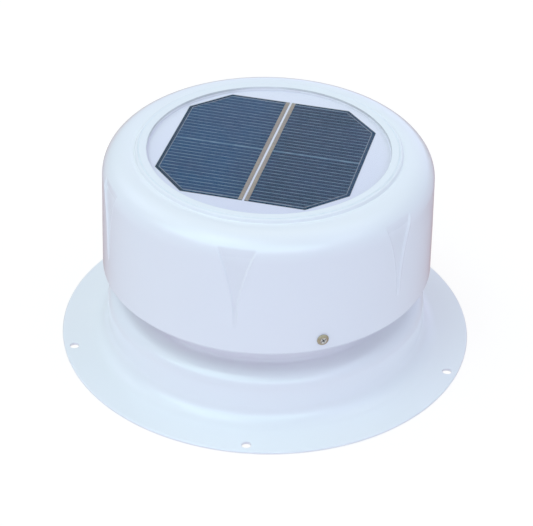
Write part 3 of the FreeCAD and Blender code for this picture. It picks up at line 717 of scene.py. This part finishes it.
def hood():
    """Rain hood: skirt with six petal recesses, domed edge, groove, raised lip and panel pocket."""
    soft = 1.1                # width over which a recess's edge falls
    ridge_h = 0.2             # ridge along a recess's edge
    ridge_at = 1.1
    ridge_w = 0.55
    narrowest = 0.95          # half width at the tip
    screw_hole_r = 2.3
    rows, skin_rows = hood_section()
    side = petal_columns()
    columns = [(-1, share, extra) for share, extra in reversed(side[:-1])]
    columns += [(1, 0, 0)] + [(1, share, extra) for share, extra in side]
    vertices, recessed = [], []
    for i, (r, z) in enumerate(rows[1:-1]):
        width = math.hypot(petal_half_width(z), narrowest)
        on_petal = i < skin_rows and PETAL_TIP_Z < z < PETAL_TOP_Z and r > HOOD_TOP_R - HOOD_EDGE_RADIUS
        depth = r - petal_floor_r(z)
        depth *= smooth(z, PETAL_TIP_Z, PETAL_TIP_Z + 14)
        rim = ridge_h * smooth(z, PETAL_TIP_Z, PETAL_TIP_Z + 10)
        rim *= smooth(-z, -PETAL_TOP_Z - 1, -PETAL_TOP_Z + 6)
        # Inside a petal recess the plastic is duller and carries painted shade.
        dull_and_shaded = smooth(z, PETAL_TIP_Z, PETAL_TIP_Z + 3) * smooth(-z, -PETAL_TOP_Z, -PETAL_TOP_Z + 7)
        if not on_petal:
            depth = rim = dull_and_shaded = 0.0
        for petal in range(PETALS):
            middle = PETAL_START + 360 * petal / PETALS
            for sign, share, extra in columns:
                along = share * width + extra
                beyond = along - width
                far = r - depth * smooth(-beyond, -soft / 2, soft / 2)
                far += rim * math.exp(-(((beyond - ridge_at) / ridge_w) ** 2))
                angle = middle + sign * math.degrees(along / HOOD_TOP_R)
                far += sway(angle, r, z) * min(r / HOOD_TOP_R, 1) ** 4
                x, y = unit(angle) * far
                vertices.append((x, y, z))
                recessed.append(dull_and_shaded * smooth(-beyond, -soft / 2, soft / 2))
    across = PETALS * len(columns)
    inner = len(rows) - 2
    faces = grid_faces(inner, across, closed=False)
    faces += pole_faces(vertices, inner, across, rows[0].y, rows[-1].y)
    thing = mesh_object("hood", vertices, faces)
    mark_recess(thing, recessed + [0.0, 0.0])
    hole_ends = [(r, 0, SCREW_Z) for r in (LUG_END_R - 3, HOOD_BOTTOM_R + 5)]
    screw_hole = cylinder("tool", screw_hole_r, *hole_ends)
    combine(thing, copies_around(screw_hole, SCREWS, SCREW_START), "DIFFERENCE")
    lead_hole = cylinder("tool", GROMMET_R, (0, LEAD_Y, BOARD_BOTTOM - 5), (0, LEAD_Y, BOARD_BOTTOM + 1))
    combine(thing, turn_mesh(lead_hole, CELL_TURN), "DIFFERENCE")
    return shade(thing)


def bell():
    """Flange, cove, wall, rounded shoulder and neck, with the bosses for three sets of screws."""
    rim = WALL / 2 - 0.02
    inner = SHOULDER_Z - WALL
    path = outline(
        [
            (FLANGE_R, 0, rim),
            (FLANGE_R, WALL, rim),
            (BELL_R, WALL, COVE_RADIUS),
            (BELL_R, SHOULDER_Z, SHOULDER_RADIUS),
            (NECK_R, SHOULDER_Z, NECK_FILLET),
            (NECK_R, NECK_TOP, 0.5),
            (NECK_R - WALL, NECK_TOP, 0.5),
            (NECK_R - WALL, inner, NECK_FILLET + WALL),
            (BELL_R - WALL, inner, SHOULDER_RADIUS - WALL),
            (BELL_R - WALL, 0, COVE_RADIUS + WALL),
        ],
        closed=True,
        step=4.0,
        span=3.0,
    )
    thing = revolve("bell", path, 300, ripple=sway)
    for tool, start in bell_bosses():
        combine(thing, copies_around(tool, SCREWS, start), "UNION")
    for tool in bell_holes():
        combine(thing, tool, "DIFFERENCE")
    return shade(thing)


def bell_bosses():
    """Lugs for the hood's screws with their gussets, and posts for the bracket and the guard with their webs,
    each with the direction of its first copy. They differ by a hair, so that no two faces coincide."""
    hair = 0.02
    root = NECK_R - WALL / 2
    lug_r = 6.0
    gusset_w = 2.2
    gusset_h = 8.0
    post_r = 4.2
    web_w = 5.2
    drop = 17.0
    inner_post_r = 3.4
    inner_web_w = 6.7
    rise = 8.0
    foot = NECK_TOP - drop
    lug = cylinder("tool", lug_r, (root, 0, SCREW_Z), (LUG_END_R, 0, SCREW_Z))
    yield lug, SCREW_START
    gusset = bar((root, 0, SCREW_Z - 10), (LUG_END_R - 3, 0, SCREW_Z - 5), gusset_w, gusset_h)
    yield bars_object("tool", [gusset]), SCREW_START
    post = cylinder("tool", post_r, (BRACKET_EAR_R, 0, foot), (BRACKET_EAR_R, 0, NECK_TOP - hair / 2))
    yield post, BRACKET_START
    web = bar((root, 0, foot + hair), (BRACKET_EAR_R, 0, foot + hair), web_w, drop - 0.1)
    yield bars_object("tool", [web]), BRACKET_START
    ends = [(GUARD_CIRCLE, 0, z) for z in (GUARD_TOP, GUARD_TOP + rise)]
    yield cylinder("tool", inner_post_r, *ends), BRACKET_START
    low_z = GUARD_TOP + hair * 1.5
    inner_web = bar((GUARD_CIRCLE, 0, low_z), (root, 0, low_z), inner_web_w, rise - 0.1)
    yield bars_object("tool", [inner_web]), BRACKET_START


def bell_holes():
    """Cutters for the screw pilots and for the roof fixings, whose edges are rounded off."""
    hood_pilot_r = 2.0
    small_pilot_r = 1.25
    flare = 0.5
    pilot = cylinder("tool", hood_pilot_r, (LUG_END_R - 13, 0, SCREW_Z), (LUG_END_R + 1, 0, SCREW_Z))
    upper = [(BRACKET_EAR_R, 0, NECK_TOP + z) for z in (-13, 1)]
    upper = cylinder("tool", small_pilot_r, *upper)
    lower = [(GUARD_CIRCLE, 0, GUARD_TOP + z) for z in (-1, 7)]
    lower = cylinder("tool", small_pilot_r, *lower)
    path = outline(
        [
            (0, -1),
            (FLANGE_HOLE_R + flare, -1),
            (FLANGE_HOLE_R + flare, 0),
            (FLANGE_HOLE_R, 0.01, flare * 0.9),
            (FLANGE_HOLE_R, WALL, flare * 0.9),
            (FLANGE_HOLE_R + flare, WALL + 0.01),
            (FLANGE_HOLE_R + flare, WALL + 1),
            (0, WALL + 1),
        ],
        step=18,
    )
    fixing = revolve("tool", path, 48, closed=False)
    fixing.data.transform(Matrix.Translation(Vector((FLANGE_HOLE_CIRCLE, 0, 0)) * MM))
    return [
        copies_around(pilot, SCREWS, SCREW_START),
        copies_around(upper, SCREWS, BRACKET_START),
        copies_around(lower, SCREWS, BRACKET_START),
        copies_around(fixing, FLANGE_HOLES, FLANGE_HOLE_START),
    ]


def bezel():
    """White ring that holds the window."""
    path = outline(
        [
            (BEZEL_INNER_R, BEZEL_BOTTOM_Z, 0.15),
            (BEZEL_OUTER_R, BEZEL_BOTTOM_Z, 0.15),
            (BEZEL_OUTER_R, BEZEL_TOP_Z, 0.3),
            (BEZEL_INNER_R, BEZEL_TOP_Z - BEZEL_SLOPE, 0.5),
        ],
        closed=True,
        step=12,
        span=0.5,
    )
    thing = revolve("bezel", path, 300, ripple=lambda a, r, z: 0.6 * sway(a, r, z))
    mark_recess(thing, [inner_edge(v.co / MM) for v in thing.data.vertices])
    return shade(thing)


def inner_edge(point):
    """1 on the upper part of the bezel's inner wall, which gets painted shade, and 0 elsewhere."""
    depth = 1.5
    inwards = point.xy.length < BEZEL_INNER_R + 0.2
    return float(inwards and BEZEL_TOP_Z - BEZEL_SLOPE - depth < point.z)


def sealant_bead():
    """Silicone in the gap round the bezel. It is uneven, and smeared where it was wiped."""
    bottom = WINDOW_TOP + 0.05
    half = (POCKET_R - BEZEL_OUTER_R) / 2
    middle = BEZEL_OUTER_R + half
    columns = 540
    across = 9
    vertices = []
    for k in range(columns):
        angle = 360 * k / columns
        x, y = unit(angle)
        place = Vector((x, y, 0))
        wiped = smooth(noise.noise(place * 1.7 + Vector((3.1, 0, 0))), -0.1, 0.5)
        lump = 0.5 + 0.5 * noise.noise(place * 22.0)
        inner = half * 0.97 + wiped * (0.25 + 0.9 * lump)
        outer = half * 0.97 + wiped * 0.35 * (0.5 + 0.5 * noise.noise(place * 31.0))
        crown = 0.03 + 0.11 * lump * (0.4 + wiped)
        for j in range(across):
            t = j / (across - 1)
            r = middle - inner + (inner + outer) * t
            z = LIP_Z - 0.10 + crown * math.sin(math.pi * t) + 0.25 * (1 - t) * smooth(lump)
            vertices.append((x * r, y * r, z))
        for r in (middle + half * 0.95, middle - half * 0.95):
            vertices.append((x * r, y * r, bottom))
    ring = across + 2
    faces = []
    for k in range(columns):
        after = (k + 1) % columns
        for j in range(ring):
            near = (j + 1) % ring
            faces.append((k * ring + j, k * ring + near, after * ring + near, after * ring + j))
    return shade(mesh_object("sealant_bead", vertices, faces), 60)


# ---- solar panel -------------------------------------------------------------------------------------
def on_panel(thing):
    """Moves a mesh from the cells' own frame to where the cells are."""
    place = Matrix.Translation(Vector((*CELL_OFFSET, 0)) * MM)
    thing.data.transform(place @ Matrix.Rotation(math.radians(CELL_TURN), 4, "Z"))
    return thing


def chamfer_leg(inset):
    """How far the corner's chamfer runs along each axis on a line inset from the cell's edge."""
    return CELL_CHAMFER - inset * (2 - math.sqrt(2))


def half_cell_border(side, inset):
    """Corner points of a line that follows one half cell's outer edges, inset from them."""
    near = GAP_MIDDLE + side * (CELL_GAP / 2 + RIBBON_W)
    far = side * (CELL_WIDTH / 2 - inset)
    end = CELL_LENGTH / 2 - inset
    cut = chamfer_leg(inset)
    bend = far - side * cut
    return [(near, -end), (bend, -end), (far, -end + cut), (far, end - cut), (bend, end), (near, end)]


def finger_reach(y, inset):
    """How far from the middle a finger at y can run before it meets the border line."""
    straight = CELL_WIDTH / 2 - inset
    shoulder = CELL_LENGTH / 2 - inset - chamfer_leg(inset)
    return straight - max(0.0, abs(y) - shoulder)


def cell_fingers():
    """Printed silver lines across both half cells."""
    width = 0.45
    height = 0.03
    inset = BARE_RIM + 0.1
    middle_y = -0.55
    first = 0.42
    lines = []
    for side in (-1, 1):
        for k in range(FINGERS):
            for up in (-1, 1):
                y = middle_y + up * (first + FINGER_PITCH * k)
                reach = finger_reach(y, inset)
                near = GAP_MIDDLE + side * (CELL_GAP / 2 + 0.2)
                lines.append(((near, y), (side * reach, y), width if k else width * 1.4))
    bars = [bar((*a, CELL_TOP), (*b, CELL_TOP), w, height) for a, b, w in lines]
    return on_panel(bars_object("cell_fingers", bars))


def cell_borders():
    """Printed line that frames the fingers of each half cell."""
    width = 0.42
    height = 0.035
    bars = []
    for side in (-1, 1):
        border = half_cell_border(side, BARE_RIM + 0.1)
        bars += [bar((*a, CELL_TOP), (*b, CELL_TOP), width, height) for a, b in zip(border, border[1:])]
    return on_panel(bars_object("cell_borders", bars))


def ribbons():
    """Two flat ribbons soldered along the gap, not quite straight and not quite flat."""
    end = CELL_LENGTH / 2 - RIBBON_INSET
    steps = 90
    edge = 0.07
    clearance = 0.05
    vertices, faces = [], []
    for side in (-1, 1):
        first = len(vertices)
        middle = GAP_MIDDLE + side * (CELL_GAP / 2 + clearance + RIBBON_W / 2)
        for k in range(steps + 1):
            y = -end + 2 * end * k / steps
            drift = 0.12 * noise.noise(Vector((side * 7.0, y / 22.0, 0)))
            rise = 0.03 * noise.noise(Vector((side * 3.0, y / 4.0, 5.0))) + 0.01
            x = middle + drift
            half = RIBBON_W / 2 + 0.05 * noise.noise(Vector((side, y / 6.0, 2.0)))
            left = [(-half, CELL_TOP), (-half, RIBBON_TOP - edge), (-half + edge, RIBBON_TOP)]
            right = [(-across, z) for across, z in reversed(left)]
            for across, z in left + right:
                vertices.append((x + across, y, z + (rise if z > CELL_TOP else 0)))
        around = 6
        for k in range(steps):
            for j in range(around):
                a = first + k * around + j
                b = first + k * around + (j + 1) % around
                faces.append((a, b, b + around, a + around))
        faces.append(tuple(first + j for j in range(around)))
        faces.append(tuple(first + steps * around + j for j in range(around)))
    return shade(on_panel(mesh_object("ribbons", vertices, faces)), 50)


def solder_spots():
    """Small lumps of solder where the ribbons leave the cells."""
    pick = random.Random(5)
    work = bmesh.new()
    for side in (-1, 1):
        for end in (-1, 1):
            x = GAP_MIDDLE + side * (CELL_GAP / 2 + RIBBON_W / 2)
            y = end * (CELL_LENGTH / 2 - RIBBON_INSET - 0.6)
            place = Matrix.Translation(Vector((x, y, RIBBON_TOP + 0.02)) * MM)
            size = Matrix.Diagonal((1.05, pick.uniform(0.6, 0.8), 0.13, 1))
            lump = bmesh.ops.create_icosphere(work, subdivisions=3, radius=MM, matrix=place @ size)
            for vertex in lump["verts"]:
                outwards = vertex.co - place.translation
                outwards.z = 0
                vertex.co += outwards * 0.25 * noise.noise(vertex.co * 900)
    mesh = bpy.data.meshes.new("solder_spots")
    work.to_mesh(mesh)
    work.free()
    thing = bpy.data.objects.new("solder_spots", mesh)
    bpy.context.scene.collection.objects.link(thing)
    return shade(on_panel(thing))


def clear_film():
    """Clear film over the cells, just clear of the ribbons and the board."""
    path = outline(
        [
            (0, RIBBON_TOP + 0.06),
            (WINDOW_R, RIBBON_TOP + 0.06),
            (WINDOW_R, WINDOW_BOTTOM - 0.01),
            (0, WINDOW_BOTTOM - 0.01),
        ],
        span=90,
    )
    return shade(revolve("clear_film", path, 180, closed=False))


# ---- screws ------------------------------------------------------------------------------------------
def cover_screw(index):
    """Low pan head screw, driven in from the side, and for each of its faces if a driver wore it."""
    shank_r = 1.95
    length = 12.0
    worn_r = 1.9
    path = outline(
        [
            (0, -length),
            (shank_r * 0.55, -length, 0.2),
            (shank_r, -length + 1.4),
            (shank_r, 0),
            (SCREW_HEAD_R - 0.25, 0, 0.1),
            (SCREW_HEAD_R, 0.35, 0.3),
            (SCREW_HEAD_R, SCREW_HEAD_H * 0.5, 0.8),
            (SCREW_HEAD_R * 0.6, SCREW_HEAD_H, 3.0),
            (0, SCREW_HEAD_H),
        ],
        step=8,
        span=1.0,
    )
    thing = revolve("cover_screw_%d" % (index + 1), path, 72, closed=False)
    for turn in (0, 90):
        wing = bars_object("tool", [cross_wing()])
        combine(thing, turn_mesh(wing, turn), "DIFFERENCE")
    worn = [int(Vector(f.center[:2]).length < worn_r * MM and f.center.z > 0) for f in thing.data.polygons]
    turn_mesh(thing, SCREW_TURNS[index])
    thing.data.transform(Matrix.Rotation(math.radians(90), 4, "Y"))
    seat = skirt_r(SCREW_Z) + 0.1
    thing.data.transform(Matrix.Translation(Vector((seat, 0, SCREW_Z)) * MM))
    turn_mesh(thing, SCREW_START + 360 * index / SCREWS)
    return shade(thing, 35), worn


def cross_wing():
    """Bar that cuts one slot of the cross recess and grows outwards."""
    half = 1.1
    width = 0.62
    past = 0.3
    corners, faces = bar((-half, 0, -past), (half, 0, -past), width, SCREW_HEAD_H + 2 * past)
    for corner in corners[4:]:
        corner.x *= 1.7
        corner.y *= 1.8
    return corners, faces


# ---- stage -------------------------------------------------------------------------------------------
def floor():
    """Plain pale floor with an opening under the flange. The camera sees it nearly white, with a faint soft
    shadow; gloss on the object shows it warmer; and from below it is left out of sight."""
    columns = 180
    far = 6000
    below_flange = 0.05
    corners = [unit(360 * k / columns) * r for r in (FLANGE_R - 1, far) for k in range(columns)]
    vertices = [(x, y, -below_flange) for x, y in corners]
    thing = mesh_object("floor", vertices, grid_faces(2, columns, closed=False))
    if thing.data.polygons[0].normal.z < 0:
        thing.data.flip_normals()
    paint = Paint("floor", (1, 1, 1), 1.0)
    rays = paint.add("LightPath").outputs
    below = paint.add("NewGeometry").outputs["Backfacing"]
    bounce = paint.add("BsdfDiffuse", (0.93, 0.91, 0.96, 1))
    seen = paint.add("AddShader")
    shadow = paint.add("BsdfDiffuse", (0.36, 0.34, 0.33, 1))
    glow = paint.add("Emission", (0.77, 0.75, 0.73, 1), 1.0)
    paint.links.new(shadow.outputs[0], seen.inputs[0])
    paint.links.new(glow.outputs[0], seen.inputs[1])
    warm = paint.add("Emission", (0.22, 0.03, 0.0, 1), 1.0)
    shown = paint.add("MixShader", rays["Is Camera Ray"], bounce.outputs[0], seen.outputs[0])
    glossed = paint.add("MixShader", rays["Is Glossy Ray"], shown.outputs[0], warm.outputs[0])
    clear = paint.add("BsdfTransparent")
    paint.add_output(paint.add("MixShader", below, glossed.outputs[0], clear.outputs[0]))
    thing.data.materials.append(paint.material)


def room():
    """Soft studio light: broad glows at an azimuth and elevation in degrees, each with a tightness and a
    colour, and a long low softbox. The camera sees plain white."""
    glows = [
        (225, 60, 20, (2.35, 3.48, 3.80)),
        (330, 40, 20, (1.25, 1.68, 2.40)),
        (180, 60, 20, (0.65, 1.00, 0.70)),
        (150, 40, 20, (1.25, 1.50, 2.00)),
        (15, 60, 20, (1.30, 1.60, 1.85)),
        (90, 70, 20, (0.90, 0.80, 0.50)),
        (75, 0, 6, (0.95, 0.98, 1.71)),
        (0, -90, 2, (1.00, 1.00, 1.15)),
    ]
    world = bpy.data.worlds.new("room")
    bpy.context.scene.world = world
    world.use_nodes = True
    graph = Graph(world.node_tree)
    direction = graph.add("TexCoord").outputs["Generated"]
    soft, crisp = softbox(graph, direction)
    lights = [(soft, (1.12, 0.98, 1.70)), (crisp, (2.15, 4.10, 3.70))]
    for azimuth, elevation, tightness, colour in glows:
        x, y = unit(azimuth) * math.cos(math.radians(elevation))
        towards = (x, y, math.sin(math.radians(elevation)))
        facing = graph.add("VectorMath", direction, towards, operation="DOT_PRODUCT").outputs["Value"]
        lights.append((graph.math("POWER", graph.math("MAXIMUM", facing, 0.0), tightness), colour))
    total = (0, 0, 0)
    for strength, colour in lights:
        light = graph.add("VectorMath", colour, operation="SCALE")
        graph.feed(light.inputs["Scale"], strength)
        total = graph.add("VectorMath", light.outputs[0], total, operation="ADD").outputs[0]
    by_camera = graph.add("LightPath").outputs["Is Camera Ray"]
    graph.feed(graph.nodes["Background"].inputs["Color"], graph.mix(by_camera, total, (1, 1, 1, 1)))


def softbox(graph, direction):
    """Strengths of a long light at the front left: low and soft as it lights things, and crisp and taller as
    it shows in gloss."""
    x, y = unit(250)
    middle = 0.37             # height of the soft band on the unit sphere
    thinness = 0.14
    facing = graph.add("VectorMath", direction, (x, y, 0), operation="DOT_PRODUCT").outputs["Value"]
    window = graph.spread(facing, 0.33, 0.55)
    height = graph.add("SeparateXYZ", direction).outputs[2]
    off = graph.math("DIVIDE", graph.math("SUBTRACT", height, middle), thinness)
    band = graph.math("EXPONENT", graph.math("MULTIPLY", graph.math("MULTIPLY", off, off), -1.0))
    lower_edge = graph.spread(height, 0.36, 0.5)
    fading_up = graph.spread(height, 0.55, 0.98, 1.0, 0.2)
    in_gloss = graph.add("LightPath").outputs["Is Glossy Ray"]
    crisp = graph.math("MULTIPLY", graph.math("MULTIPLY", lower_edge, fading_up), in_gloss)
    return graph.math("MULTIPLY", window, band), graph.math("MULTIPLY", window, crisp)


def camera():
    """Long lens from the front, looking down."""
    target = Vector((0, 0, 51.0))
    distance = 1314.0
    tilt = math.radians(34.45)
    roll = math.radians(1.31)
    forward = Vector((0, math.cos(tilt), -math.sin(tilt)))
    level_up = Vector((0, math.sin(tilt), math.cos(tilt)))
    level_right = Vector((1, 0, 0))
    right = level_right * math.cos(roll) + level_up * math.sin(roll)
    up = level_up * math.cos(roll) - level_right * math.sin(roll)
    data = bpy.data.cameras.new("camera")
    data.sensor_width = 36.0
    data.lens = 133.7
    data.clip_end = 50.0
    thing = bpy.data.objects.new("camera", data)
    bpy.context.scene.collection.objects.link(thing)
    turn = Matrix((right, up, -forward)).transposed().to_4x4()
    place = (target - forward * distance) * MM
    thing.matrix_world = Matrix.Translation(place) @ turn
    bpy.context.scene.camera = thing


# ---- assembly ----------------------------------------------------------------------------------------
def paint_nodes(paint, *names):
    """Gives CAD nodes a material."""
    for name in names:
        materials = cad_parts[name].data.materials
        materials.clear()
        materials.append(paint)


def paint_panel():
    """Materials of the panel's CAD nodes."""
    paint_nodes(board_white(), "panel_substrate")
    paint_nodes(silicon(), "solar_cell_left", "solar_cell_right")
    paint_nodes(clear_sheet("window_clear", 0.12, haze=0.003), "panel_window")


def paint_wiring():
    """Materials of the leads and what they join."""
    tin = metal("tin_pin", (0.75, 0.74, 0.71), (0.60, 0.58, 0.53))
    paint_nodes(tin, "panel_terminals", "motor_terminals")
    paint_nodes(rubbery("black_rubber", (0.02, 0.02, 0.022)), "lead_grommet")
    paint_nodes(rubbery("red_sleeve", (0.45, 0.02, 0.015), 0.4), "lead_red")
    paint_nodes(rubbery("black_sleeve", (0.015, 0.015, 0.017), 0.4), "lead_black")
    nylon = moulded("natural_nylon", tone((0.72, 0.70, 0.62)), tone((0.66, 0.63, 0.54)), 0.45)
    paint_nodes(nylon, "connector_plug", "connector_socket")


def paint_motor():
    """Materials of the motor, its bracket and its screws."""
    frame_white = moulded("white_frame", tone((0.78, 0.81, 0.84)), tone((0.80, 0.80, 0.80)), 0.4)
    paint_nodes(frame_white, "motor_bracket", "inlet_guard")
    bright = metal("bright_screw", (0.70, 0.70, 0.70), (0.52, 0.50, 0.47), 0.3)
    paint_nodes(bright, "bracket_screws", "motor_screws", "guard_screws", "impeller_nut")
    steel = metal("zinc_steel", (0.60, 0.61, 0.62), (0.45, 0.45, 0.44), 0.3, (1, 1, 12))
    paint_nodes(steel, "motor_can")
    paint_nodes(mineral("ferrite", (0.035, 0.033, 0.033), (0.07, 0.065, 0.06)), "motor_magnets")
    bronze = metal("sintered_bronze", (0.48, 0.33, 0.17), (0.30, 0.21, 0.12), 0.5)
    paint_nodes(bronze, "motor_bush_front", "motor_bush_rear")
    black = moulded("black_cap", tone((0.02, 0.02, 0.021)), tone((0.04, 0.04, 0.04)), 0.42)
    paint_nodes(black, "motor_end_cap")
    paint_nodes(mineral("carbon", (0.02, 0.02, 0.02), (0.06, 0.05, 0.045), 0.55), "motor_brushes")


def paint_rotor():
    """Materials of what turns."""
    ground = metal("ground_steel", (0.66, 0.66, 0.67), (0.5, 0.48, 0.45), 0.22, (6, 6, 1))
    paint_nodes(ground, "motor_shaft", "thrust_washers")
    core = metal("core_steel", (0.34, 0.34, 0.36), (0.22, 0.20, 0.18), 0.42, (12, 12, 1))
    paint_nodes(core, "armature_core")
    paint_nodes(enamelled_wire(), "armature_windings")
    brown = moulded("sleeve_brown", tone((0.16, 0.07, 0.03)), tone((0.20, 0.10, 0.05)), 0.5)
    paint_nodes(brown, "commutator_sleeve")
    copper = metal("copper", (0.75, 0.36, 0.20), (0.40, 0.20, 0.12), 0.28, (8, 8, 1))
    paint_nodes(copper, "commutator_segments")
    blades = moulded("white_blades", tone((0.80, 0.84, 0.88)), tone((0.82, 0.83, 0.83)), 0.36)
    paint_nodes(blades, "impeller")


def shells():
    """White mouldings and the sealant between two of them."""
    white = (0.945, 0.94, 0.965)
    warm = (0.955, 0.94, 0.96)
    shell_white = moulded("shell_white", white, warm)
    # The bezel's marked inner wall gets strong painted shade.
    bezel_white = moulded("bezel_white", (0.945, 0.955, 0.965), warm, recess_shade=0.55)
    finish_piece(hood(), shell_white, "white_shell", "hood_cover")
    finish_piece(bell(), shell_white, "white_shell", "base_flange")
    finish_piece(bezel(), bezel_white, "white_shell", "panel_bezel")
    finish_piece(sealant_bead(), sealant_white(), "white_sealant", "bezel_sealant")


def panel():
    """Silver lines, ribbons, solder and clear film of the solar panel."""
    fingers_silver = silver_paste("fingers_silver", (0.10, 0.175, 0.26), (0.055, 0.11, 0.18))
    borders_silver = silver_paste("borders_silver", (0.17, 0.18, 0.22), (0.09, 0.12, 0.17))
    finish_piece(cell_fingers(), fingers_silver, "silicon_cell")
    finish_piece(cell_borders(), borders_silver, "silicon_cell")
    finish_piece(ribbons(), tinned_ribbon(), "tinned_ribbon", "busbar_ribbons")
    finish_piece(solder_spots(), solder(), "tinned_ribbon")
    finish_piece(clear_film(), clear_sheet("film_clear", 0.02), "clear_film", "panel_encapsulant")


def cover_screws():
    """Hood screws: olive zinc, bright where a driver wore them."""
    zinc = yellow_zinc("yellow_zinc", (0.38, 0.275, 0.125), (0.25, 0.185, 0.10), (0.50, 0.40, 0.24))
    worn_zinc = yellow_zinc("worn_zinc", (0.92, 0.86, 0.74), (0.75, 0.66, 0.5), (0.97, 0.95, 0.9))
    for index in range(SCREWS):
        screw, worn = cover_screw(index)
        finish_piece(screw, zinc, "yellow_zinc", "cover_screws")
        screw.data.materials.append(worn_zinc)
        screw.data.polygons.foreach_set("material_index", worn)


shells()
panel()
cover_screws()
paint_panel()
paint_wiring()
paint_motor()
paint_rotor()

floor()
room()
camera()
view = bpy.context.scene.view_settings
view.view_transform = "Standard"
view.gamma = VIEW_GAMMA
